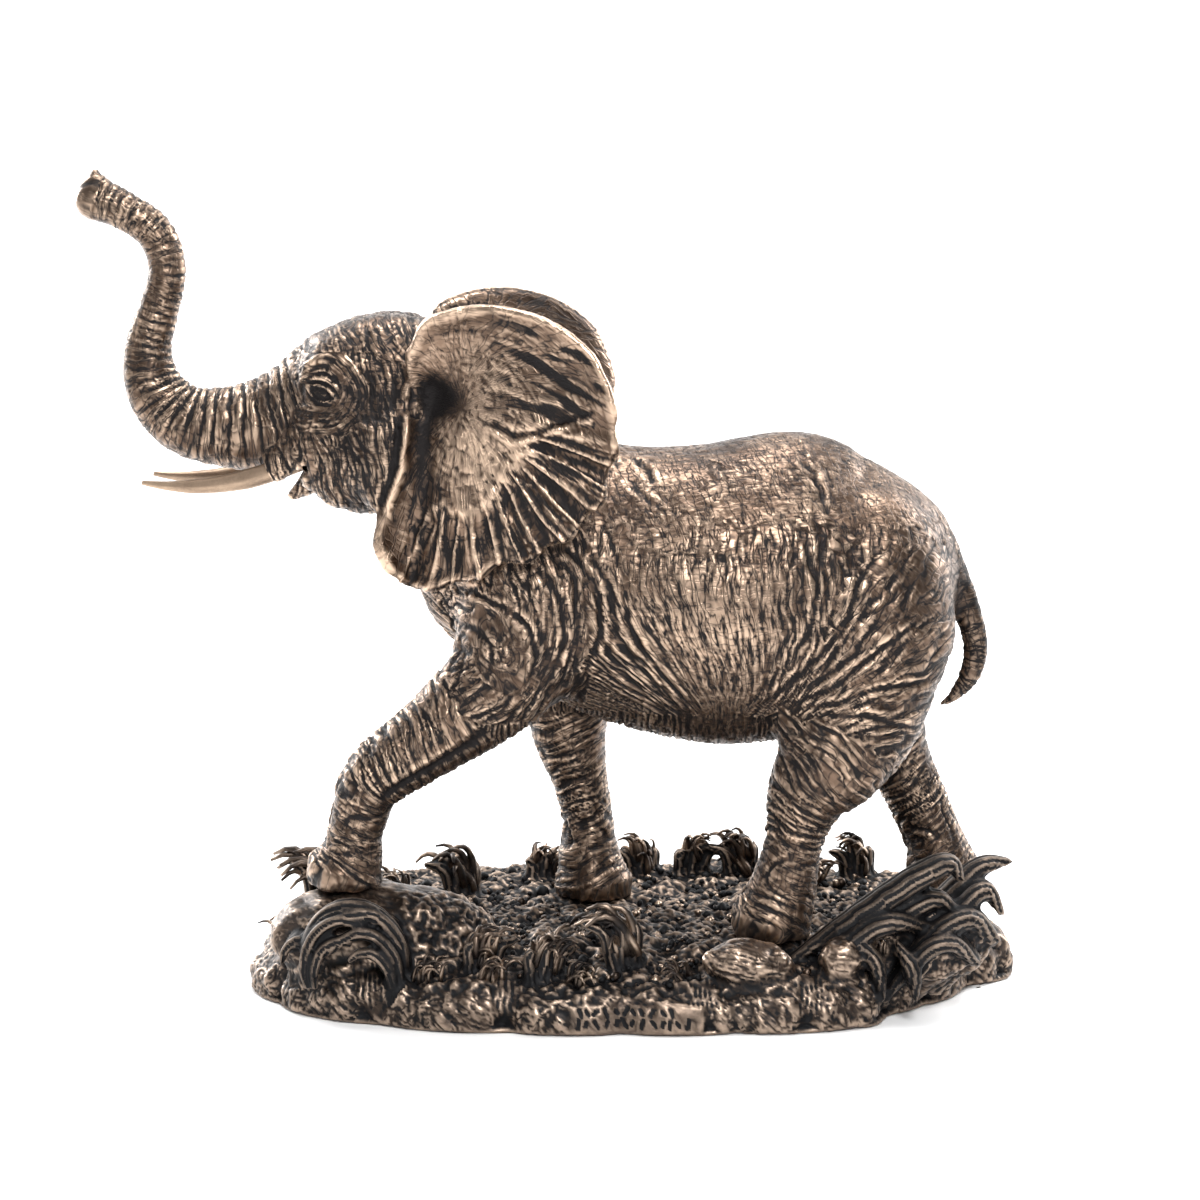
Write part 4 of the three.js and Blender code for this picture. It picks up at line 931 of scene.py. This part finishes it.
tusk = {"length": 47.5, "thickness": 6.2, "root": (-92.6, 13.6, 134.2), "rings": 40, "sides": 24,
        "triangles": 2000, "dark": (0.15, 0.10, 0.07, 1), "brown": (0.30, 0.21, 0.145, 1),
        "gold": (0.54, 0.40, 0.28, 1), "recess": (0.05, 0.03, 0.02, 1), "rough": 0.38, "metal": 0.8,
        "bump": 0.15, "line": 0.25}


def tuskMesh(side):
    rings, sides, length = tusk["rings"], tusk["sides"], tusk["length"]
    share = np.linspace(0, 1, rings)
    radius = tusk["thickness"] / 2 * (1 - 0.78 * share ** 2.2)
    radius *= 1 - 0.06 * np.abs(np.sin(share * 9))
    tilt = np.arctan2(0.64 * share - 0.47, 0.965)
    angle = np.linspace(0, 2 * np.pi, sides, endpoint=False)
    high, wide = np.outer(radius, np.cos(angle)), np.outer(radius, np.sin(angle))
    x = tusk["root"][0] - 0.965 * length * share[:, None] + high * np.sin(tilt)[:, None]
    y = side * (tusk["root"][1] - 0.04 * length * share[:, None] + wide)
    drop = length * (0.32 * share ** 2 - 0.47 * share)
    z = tusk["root"][2] + drop[:, None] + high * np.cos(tilt)[:, None]
    points = np.stack([x, y, z], -1).reshape(-1, 3)
    last = (rings - 1) * sides
    points = np.vstack([points, points[:sides].mean(0), points[last:].mean(0)])
    faces = []
    for here in range(last):
        there = here + 1 if (here + 1) % sides else here + 1 - sides
        faces += [[here, there, there + sides], [here, there + sides, here + sides]]
    for n in range(sides):
        there = (n + 1) % sides
        faces += [[there, n, len(points) - 2], [last + n, last + there, len(points) - 1]]
    faces = np.array(faces)
    corner = points[faces]
    volume = np.einsum("ij,ij->i", corner[:, 0], np.cross(corner[:, 1], corner[:, 2])).sum()
    return points, faces if volume > 0 else faces[:, ::-1]


def tuskPieces():
    report("tusks")
    material = bronze("tusk", tusk)
    for name, side in (("left_tusk", -1), ("right_tusk", 1)):
        points, faces = tuskMesh(side)
        x, y, z = points.T
        lengthwise = np.abs(noise(x / 14, y / 0.9, z / 0.9, 91))
        attributes = {"depth": lengthwise * 0.3, "wearAndHighlight": np.full(len(points), 0.4)}
        makePiece(name + "_bronze", points, faces, attributes, tusk["triangles"], material, name)


tuskPieces()


ground = {"step": 1.3, "quickStep": 2.4, "triangles": 180000, "halfLength": 110.0, "halfWidth": 61.0,
          "bottom": -groundThickness, "edgeDrop": 6.0, "lobes": 16, "dark": (0.028, 0.022, 0.019, 1),
          "brown": (0.105, 0.074, 0.056, 1), "gold": (0.44, 0.33, 0.25, 1),
          "recess": (0.005, 0.005, 0.006, 1), "rough": 0.34, "metal": 1.0, "bump": 0.4, "line": 0.25}


def soilHeight(x, y):
    across = y / ground["halfWidth"]
    ripple = np.sin(x * 0.21 + 1.3) * np.sin(y * 0.27 + 0.4) + np.sin(x * 0.13 - y * 0.17)
    end = x / ground["halfLength"]
    return (ripple * 0.4 - ground["edgeDrop"] * smoothstep(-across, 0.35, 0.95)
            + 2.5 * smoothstep(across, 0.3, 0.9)
            - 7 * smoothstep(-end, 0.82, 0.97) - 4 * smoothstep(end, 0.85, 1))


def lobeWave(angle):
    # Nought in the notches between the lobes of the ground's edge
    return np.abs(np.sin(ground["lobes"] / 2 * angle + 0.9 * np.sin(2 * angle) + 0.4))


def groundReach(angle):
    power = 2.5
    oval = (np.abs(np.cos(angle) / ground["halfLength"]) ** power
            + np.abs(np.sin(angle) / ground["halfWidth"]) ** power) ** (-1 / power)
    corner = window(angle, -0.72, -0.5, -0.14, -0.02)
    return oval * (1 - 0.14 * corner) - 2.4 + 3.4 * np.sqrt(lobeWave(angle) + 0.05)


def soilDistance(x, y, z):
    flare = 1.5 * smoothstep(-z / groundThickness, 0.2, 0.9)
    side = (np.hypot(x, y) - groundReach(np.arctan2(y, x)) + 1.5 - flare) * 0.85
    return -blend(-side, -(z - soilHeight(x, y)), 9)


def blade(root, crest, tip, width):
    thick = width * 0.6
    root, crest, tip = (np.array(p, float) for p in (root, crest, tip))
    return limb([[*root, thick, width], [*(root + (crest - root) * 0.55), thick, width],
                 [*crest, thick * 0.9, width * 0.9], [*tip, 1.3, 1.3]], 1.6)


def tuft(x, y, height, lean, count):
    blades = []
    for n in range(count):
        fan = n / (count - 1) - 0.5
        reach = height * (1 - 0.4 * abs(fan))
        root = float(soilHeight(x, y)) - 3
        blades.append(blade([x + fan * 5, y + fan * 3, root],
                            [x + fan * 9 + lean * reach * 0.3, y + fan * 4, root + 3 + reach * 0.8],
                            [x + fan * 12 + lean * reach * 0.9, y + fan * 6, root + 3 + reach], 3.4))
    return blades


tufts = [(-90, 8, 17, -0.3, 3), (-50, 22, 12, -0.6, 4), (-27, 42, 6, 0.3, 3), (3, 46, 8, -0.5, 3),
         (17, 44, 8, 0.7, 3), (33, 46, 9, -0.4, 3), (68, 42, 9, -0.4, 3), (-43, -44, 9, 0.6, 3),
         (-26, -48, 9, 0.5, 3), (-3, -44, 15, -0.4, 3)]
soilForm = {"low": np.array([-110.0, -61, -19]), "high": np.array([110.0, 61, 6]), "distance": soilDistance,
            "soften": 3}


def leaf(path, width, flatness=0.55, ends=(0.45, 2.75), soften=1.4):
    # A flattened leaf along a path, thin at its root and tip
    shares = np.sin(np.linspace(*ends, len(path)))
    return limb([[*place, width * flatness * share, width * share] for place, share in zip(path, shares)],
                soften)


def curl(centre, reach, height, y, start, end, width):
    # A strand that curls over in front of the rock
    path = [(centre[0] + reach * math.cos(a), y, centre[1] + height * math.sin(a))
            for a in np.linspace(start, end, 8)]
    return leaf(path, width, 0.6, (0.6, 2.6), 1.2)


curls = [
    curl((-78.5, -2), 13.8, 15.4, -43, 3.0, 0.2, 3.4),
    curl((-76, -4), 12.6, 15.6, -45.5, 2.7, -0.2, 3.4),
    curl((-80.5, -4), 11.2, 14.2, -47, 3.5, 0.9, 3.2),
    curl((-75.5, -7), 10.4, 13.8, -48.5, 2.5, -0.3, 3.2),
    curl((-81.5, -6), 7.2, 10.6, -48.5, 3.4, 1.1, 2.8),
    curl((-74.5, -10), 7.6, 11.6, -49.5, 2.2, -0.2, 3.0),
    curl((-93, -5), 5.5, 8, -41, 3.0, 0.3, 2.8),
]
leaves = [
    *curls,
    leaf([(44, -38, -3), (57, -38, 6), (70, -37, 14.5), (81, -35, 21), (87.5, -33.5, 23),
          (90.5, -33, 18.5)], 6.6),
    leaf([(50, -41, -5), (61, -42, 4), (71, -42, 8.5), (79.5, -40, 7)], 6.2),
    leaf([(58, -38, 1), (72, -38, 8.5), (83, -36, 13.5), (89, -35, 10.5)], 5.4),
    leaf([(76, -26, 1), (88, -24, 12), (98, -20, 19), (106, -18, 20)], 5.6),
    leaf([(80, -34, -7), (91, -31, 9), (98, -28, 14), (103, -27, 7)], 5.6),
    leaf([(72, -40, -10), (83, -40, 4), (93, -36, 8), (101, -32, 1)], 6),
    leaf([(68, -43, -14), (79, -45, 0), (87, -44, 3), (95, -39, -4)], 5),
    leaf([(62, -44, 4), (66, -47.5, -2), (68, -50, -11)], 4.6),
    leaf([(72, -44, 3), (76, -47.5, -4), (77, -49, -12)], 4.6),
]
tuftBlades = [one for place in tufts for one in tuft(*place)]
boulder = lump([-72, -26, 0], [31, 17, 15.5], 4, 3, 6)
log = lump([31, -49, -2], [13, 8, 7], 2, 8, 8)
stone = lump([57, -46, -1], [7, 6, 6], 2, -12, 20)
groundForms = [soilForm, boulder, lump([-56, -29, 0], [19, 12, 12.5], 4, 16, 10), *leaves,
               lump([80, -30, -2], [20, 11, 13], 4, -10), *tuftBlades, log, stone]
notches = [-74, -35.9, 18.6, 47.5, 70.4, 87.3]
# Rows of shallow strokes on the front: middle height, length and lean of each row
strokeRows = [(-15.4, 2.3, 0.5), (-12.4, 1.9, -0.6)]


def undersideDistance(x, y, z):
    return z - ground["bottom"]


underside = hollow({"low": np.array([-200.0, -100, -40]), "high": np.array([200.0, 100, -19]),
                    "distance": undersideDistance, "soften": 0.4})


def strands(forms, x, y, z, pitch):
    # Lengthwise grooves that part leaves and tufts into strands. The nearest form decides.
    height, most = np.zeros(len(x)), np.full(len(x), 0.25)
    for n, form in enumerate(forms):
        on, up, side, travelled, high = alongLimb(form, x, y, z, 1.6)
        around = np.arctan2(side, up) + 0.3 * noise(travelled / 8, on * 0, on * 0, 200 + n)
        count = np.maximum(np.round(2 * np.pi * 1.25 * high / pitch), 3)
        grooves = -0.65 * bump(np.sin(around * count / 2), 0.5)
        height, most = np.where(on > most, grooves, height), np.maximum(on, most)
    return height, (most > 0.25) * 1.0


def strokeRelief(x, z):
    # Rows of shallow cuts that stand for a line of writing and spell nothing
    height = np.zeros(len(x))
    for row, (middle, length, lean) in enumerate(strokeRows):
        for n in range(13 - 2 * row):
            startX = -15.8 + 2.5 * n + 0.5 * math.sin(5 * n + row)
            tall = length * (0.7 + 0.3 * math.cos(3.7 * n + row))
            bend = lean * math.sin(2.1 * n + 0.5)
            path = [(startX - bend, middle - tall / 2), (startX + bend, middle + tall / 2)]
            height = np.minimum(height, -0.55 * bump(fromPath(x, z, path), 0.38))
    return height


def soilRelief(points, normals):
    x, y, z = points.T
    nought = x * 0
    side = smoothstep(np.abs(normals[:, 2]) * -1, -0.85, -0.55)
    side *= (1 - smoothstep(z, -5, -1)) * smoothstep(z, -18.7, -17.6)
    above = smoothstep(z, -18.4, -16.5)
    clods = noise(x / 5, y / 5, z / 5, 103)
    warp = noise(x / 6, y / 6, z / 6, 104) * 5
    curls = bump(noise((x + warp) / 2.6, y / 2.6, (z - warp) / 2.6, 105), 0.16)
    fine = bump(noise((x - warp) / 1.5, y / 1.5, (z + warp) / 1.5, 106), 0.2)
    gravel = noise(x / 2.2, y / 2.2, z / 2.2, 101) * 1.1 + noise(x / 1.1, y / 1.1, z / 1.1, 102) * 0.5
    lumps = noise(x / 7, y / 7, z / 7, 111) * 2.4
    height = side * (clods * 1.3 - curls * 0.4 - fine * 0.15) + (1 - side) * above * (gravel + lumps - 0.35)
    front = smoothstep(-y, 36, 44)
    for place in notches:
        gap = x - place - 0.12 * (z + 10) + 0.8 * noise(z / 6, nought, nought, 107)
        height += front * side * (-2.3 * bump(gap, 3.2) + 0.6 * bump(np.abs(gap) - 8, 4))
        hang = front * smoothstep(z, -16, -10) * bump(gap, 4.5) * smoothstep(-normals[:, 1], 0.1, 0.4)
        hair = bump(np.sin((x + 1.3 * noise(z / 5, x / 9, nought, 108)) * np.pi / 1.5), 0.4)
        height = height * (1 - hang * 0.7) - hang * hair * 0.7
    height -= (1 - front) * side * 2.0 * bump(lobeWave(np.arctan2(y, x)), 0.22)
    for rock, cracked in ((boulder, 0.15), (log, 0.45), (stone, 0.3)):
        on = belongs(rock, x, y, z, 1.5)
        cracks = bump(noise(x / 14 + 0.3 * clods, y / 4, (z + 0.15 * x) / 1.7, 109), 0.12)
        facets = noise(x / 6, y / 6, z / 6, 110) * 1.2
        height = height * (1 - on) + on * (facets - cracked * cracks - 0.15 * fine)
    grooves, onLeaf = strands(leaves + tuftBlades, x, y, z, 2.9)
    height = height * (1 - onLeaf) + grooves
    cuts = strokeRelief(x, z) * smoothstep(-y, 52, 56) * smoothstep(-normals[:, 1], 0.3, 0.6)
    plate = front * (1 - smoothstep(np.abs(x), 17.5, 20)) * window(z, -18.5, -17.8, -11, -9.5)
    height = height * (1 - 0.8 * plate) + cuts
    rocks = np.maximum(belongs(log, x, y, z), belongs(stone, x, y, z))
    rocks = np.maximum(rocks, 0.7 * belongs(boulder, x, y, z))
    brown = np.clip(side + onLeaf + rocks, 0, 1)
    dark = np.clip(-cuts / 0.5, 0, 1) + 0.62 * onLeaf + 0.16 * side
    return height, dark, brown


def onGround(x, y):
    # The height of the ground at some places, found by stepping down through it
    z = np.full(len(x), 32.0)
    for turn in range(40):
        z -= np.clip(joined(groundForms, x, y, z) * 0.7, 0, 3)
    return z


def scattered(name, places, turns, sizes, shapeOf, material):
    # One small shape on every place, turned and scaled by the attributes of the points
    spots = makeMesh(name, (places + [0, 0, groundThickness]) * millimetre, np.zeros((0, 3), int))
    for key, values in (("turn", turns), ("size", sizes * millimetre)):
        layer = spots.attributes.new(key, "FLOAT_VECTOR", "POINT")
        layer.data.foreach_set("vector", values.astype(np.float32).ravel())
    tree = bpy.data.node_groups.new(name, "GeometryNodeTree")
    tree.interface.new_socket("Geometry", in_out="INPUT", socket_type="NodeSocketGeometry")
    thickness = tree.interface.new_socket("Thickness", in_out="INPUT", socket_type="NodeSocketFloat")
    tree.interface.new_socket("Geometry", in_out="OUTPUT", socket_type="NodeSocketGeometry")
    start = addNode(tree, "NodeGroupInput").outputs
    turn, size = (addNode(tree, "GeometryNodeInputNamedAttribute", {"data_type": "FLOAT_VECTOR"},
                          {"Name": key}).outputs["Attribute"] for key in ("turn", "size"))
    spread = addNode(tree, "GeometryNodeInstanceOnPoints", inputs={
        "Points": start["Geometry"], "Instance": shapeOf(tree, start["Thickness"]), "Rotation": turn,
        "Scale": size}).outputs["Instances"]
    real = addNode(tree, "GeometryNodeRealizeInstances", inputs={"Geometry": spread}).outputs["Geometry"]
    painted = addNode(tree, "GeometryNodeSetMaterial", inputs={"Geometry": real, "Material": material})
    addNode(tree, "NodeGroupOutput", inputs={"Geometry": painted.outputs["Geometry"]})
    made = withModifier(spots, "NODES", {thickness.identifier: grass["thickness"]}, node_group=tree)
    points, faces = arraysOf(withModifier(made, "TRIANGULATE"))
    return points / millimetre - [0, 0, groundThickness], faces


def grassShape(tree, thickness):
    # A blade that rises and bends over, as a tapered tube of a unit's height
    line = addNode(tree, "GeometryNodeCurveQuadraticBezier", inputs={
        "Resolution": grass["steps"], "Start": (0, 0, -0.15), "Middle": (0.05, 0, 1.15),
        "End": (0.8, 0, 0.75)}).outputs["Curve"]
    along = addNode(tree, "GeometryNodeSplineParameter").outputs["Factor"]
    taper = addNode(tree, "ShaderNodeMapRange", inputs={
        "Value": along, "From Min": 0.3, "To Min": 1.0, "To Max": 0.25}).outputs["Result"]
    wide = mathNode(tree, "MULTIPLY", taper, thickness)
    girth = addNode(tree, "GeometryNodeSetCurveRadius", inputs={"Curve": line, "Radius": wide})
    outline = addNode(tree, "GeometryNodeCurvePrimitiveCircle", inputs={
        "Resolution": grass["sides"], "Radius": 1.0}).outputs["Curve"]
    return addNode(tree, "GeometryNodeCurveToMesh", inputs={
        "Curve": girth.outputs["Curve"], "Profile Curve": outline, "Fill Caps": True,
        "Scale": wide}).outputs["Mesh"]


def pebbleShape(tree, thickness):
    return addNode(tree, "GeometryNodeMeshUVSphere", inputs={
        "Segments": gravel["sides"], "Rings": gravel["rings"], "Radius": 0.5}).outputs["Mesh"]


gravel = {"seed": 31, "count": 2600, "quickCount": 500, "sides": 6, "rings": 4, "triangles": 120000}
# Clumps between the carved tufts: x, y, height, lean and number of blades
grass = {"thickness": 0.13, "steps": 6, "sides": 5, "blades": 22, "triangles": 120000, "clumps": [
    (-41, -50, 7, 0.8, 18), (-58, -50, 6, 0.7, 14), (12, -50, 6, -0.5, 10), (-16, -52, 6, 0.6, 14),
    (52, 34, 10, 0.5, 16), (-70, 30, 8, -0.6, 14), (86, 22, 8, 0.6, 12), (-12, 50, 6, 0.5, 12),
    (48, 46, 7, -0.6, 12), (-100, -6, 7, -0.7, 10), (66, -44, 7, 0.7, 14), (92, -14, 7, 0.7, 12)]}


def undersideHeight(points):
    return ground["bottom"] + boxMargin


def groundPieces():
    report("ground")
    soil = bronze("soil", ground)
    forms = groundForms + [underside]
    points, faces, proud, relief, (dark, brown) = carved(forms, ground, soilRelief, undersideHeight)
    wash = (dark + 0.35 * (1 - brown)) * (1 - 0.4 * np.clip(proud / 0.3, 0, 1))
    attributes = {"depth": np.clip(-proud / 0.35, 0, 1) + wash,
                  "wearAndHighlight": np.clip(proud / 0.26, 0, 1) * (0.8 + 0.2 * brown)}
    makePiece("ground_bronze", points, faces, attributes, ground["triangles"], soil, "ground_base")

    report("gravel and grass")
    dice = np.random.default_rng(gravel["seed"])
    count = gravel["count"]
    places = np.stack([dice.uniform(-100, 100, count), dice.uniform(-54, 54, count)], -1)
    places = places[np.hypot(places[:, 0] / 104, places[:, 1] / 55) < 0.98]
    for x, y, z in feet.values():
        places = places[np.hypot(places[:, 0] - x, places[:, 1] - y) > 15]
    z = onGround(places[:, 0], places[:, 1])
    low = z < soilHeight(places[:, 0], places[:, 1]) + 2.0
    places = np.column_stack([places, z - 0.1])[low]
    count = len(places)
    sizes = np.exp(dice.normal(0.45, 0.35, count))[:, None] * dice.uniform(0.7, 1.2, (count, 3))
    turns = dice.uniform(0, 6.28, (count, 3))
    points, faces = scattered("gravel", places, turns, sizes, pebbleShape, soil)
    # Each pebble draws a tone: three in four are darkened as their own colour, and about one in seven is
    # turned gold as a painted glint
    pebbleDraw = dice.uniform(0, 1, count).repeat(len(points) // count)
    attributes = {"depth": 0.9 * (pebbleDraw < 0.75), "wearAndHighlight": 0.8 * (pebbleDraw > 0.86)}
    makePiece("ground_gravel", points, faces, attributes, gravel["triangles"], soil, None)

    roots, turns, sizes = [], [], []
    for x, y, height, lean, blades in [(*tuft[:4], grass["blades"]) for tuft in tufts] + grass["clumps"]:
        for n in range(blades):
            angle, away = dice.uniform(0, 6.28), dice.uniform(0.5, 4.5)
            roots.append([x + away * math.cos(angle), y + 0.8 * away * math.sin(angle)])
            heading = dice.normal(0 if lean > 0 else math.pi, 0.7)
            turns.append([0, dice.normal(0.1, 0.25), heading])
            tall = height * dice.uniform(0.55, 0.95)
            sizes.append([tall * dice.uniform(0.8, 1.2), tall * 1.1, tall])
    roots = np.array(roots)
    floorZ = soilHeight(roots[:, 0], roots[:, 1])
    z = np.minimum(onGround(roots[:, 0], roots[:, 1]), floorZ + 5)
    held = z > floorZ - 4
    points, faces = scattered("grass", np.column_stack([roots, z])[held], np.array(turns)[held],
                              np.array(sizes)[held], grassShape, soil)
    lengthwise = noise(points[:, 0] / 3, points[:, 1] / 3, points[:, 2] / 6, 111)
    attributes = {"depth": np.clip(0.35 - lengthwise, 0, 1) * 0.6, "wearAndHighlight": np.clip(lengthwise + 0.3, 0, 1)}
    makePiece("ground_grass", points, faces, attributes, grass["triangles"], soil, None)


groundPieces()


def aim(thing, target):
    thing.rotation_euler = (Vector(target) - thing.location).to_track_quat("-Z", "Y").to_euler()


report("camera, floor and light")
view = {"place": (-0.010, -0.900, 0.247), "target": (-0.010, 0.0, 0.111), "lens": 95.57}
lens = bpy.data.cameras.new("camera")
lens.lens = view["lens"]
lens.sensor_width = 36
camera = placeObject("camera", lens)
camera.location = view["place"]
aim(camera, view["target"])
bpy.context.scene.camera = camera


def backdrop():
    # A pale floor that sweeps up behind the object
    bend = [(1.2 + math.sin(a), 1 - math.cos(a)) for a in np.linspace(0, math.pi / 2, 24)]
    profile = [(-4.0, 0.0), *bend, (2.2, 4.0)]
    points = np.array([(x, y, z) for y, z in profile for x in (-4.0, 4.0)])
    faces = np.array([[2 * n, 2 * n + 1, 2 * n + 3, 2 * n + 2] for n in range(len(profile) - 1)])
    mesh = makeMesh("floor", points, faces)
    mesh.polygons.foreach_set("use_smooth", np.ones(len(mesh.polygons), bool))
    material, tree, shader = shaderTree("floor")
    shader.inputs["Base Color"].default_value = (0.9, 0.9, 0.9, 1)
    shader.inputs["Roughness"].default_value = 0.95
    mesh.materials.append(material)
    placeObject("floor", mesh)


def areaLight(name, place, size, power, target=(0, 0, 0.11)):
    data = bpy.data.lights.new(name, "AREA")
    data.shape = "RECTANGLE"
    data.size, data.size_y = size
    data.energy = power
    lamp = placeObject(name, data)
    lamp.location = place
    aim(lamp, target)


backdrop()
areaLight("keyLight", (0.25, -1.0, 1.15), (0.4, 0.4), 14)
areaLight("glossLight", (0.12, -1.1, 0.62), (0.16, 0.22), 5)
areaLight("leftLight", (-1.25, -0.35, 0.6), (0.4, 0.7), 3.5)
areaLight("leftRimLight", (-1.0, 0.9, 0.6), (0.5, 0.9), 22)
areaLight("rightRimLight", (1.1, 0.8, 0.7), (0.5, 0.9), 22)
areaLight("topLight", (0.0, 0.25, 1.4), (0.8, 0.5), 19)
areaLight("wallLight", (0.0, 0.7, 1.9), (2.4, 0.6), 60, (0, 2.2, 0.7))
world = bpy.data.worlds.new("world")
world.use_nodes = True
sky = world.node_tree.nodes["Background"].inputs
sky["Color"].default_value = (0.95, 0.97, 1, 1)
sky["Strength"].default_value = 0.2
bpy.context.scene.world = world
bpy.context.scene.view_settings.view_transform = "Standard"

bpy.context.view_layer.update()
report("finish")
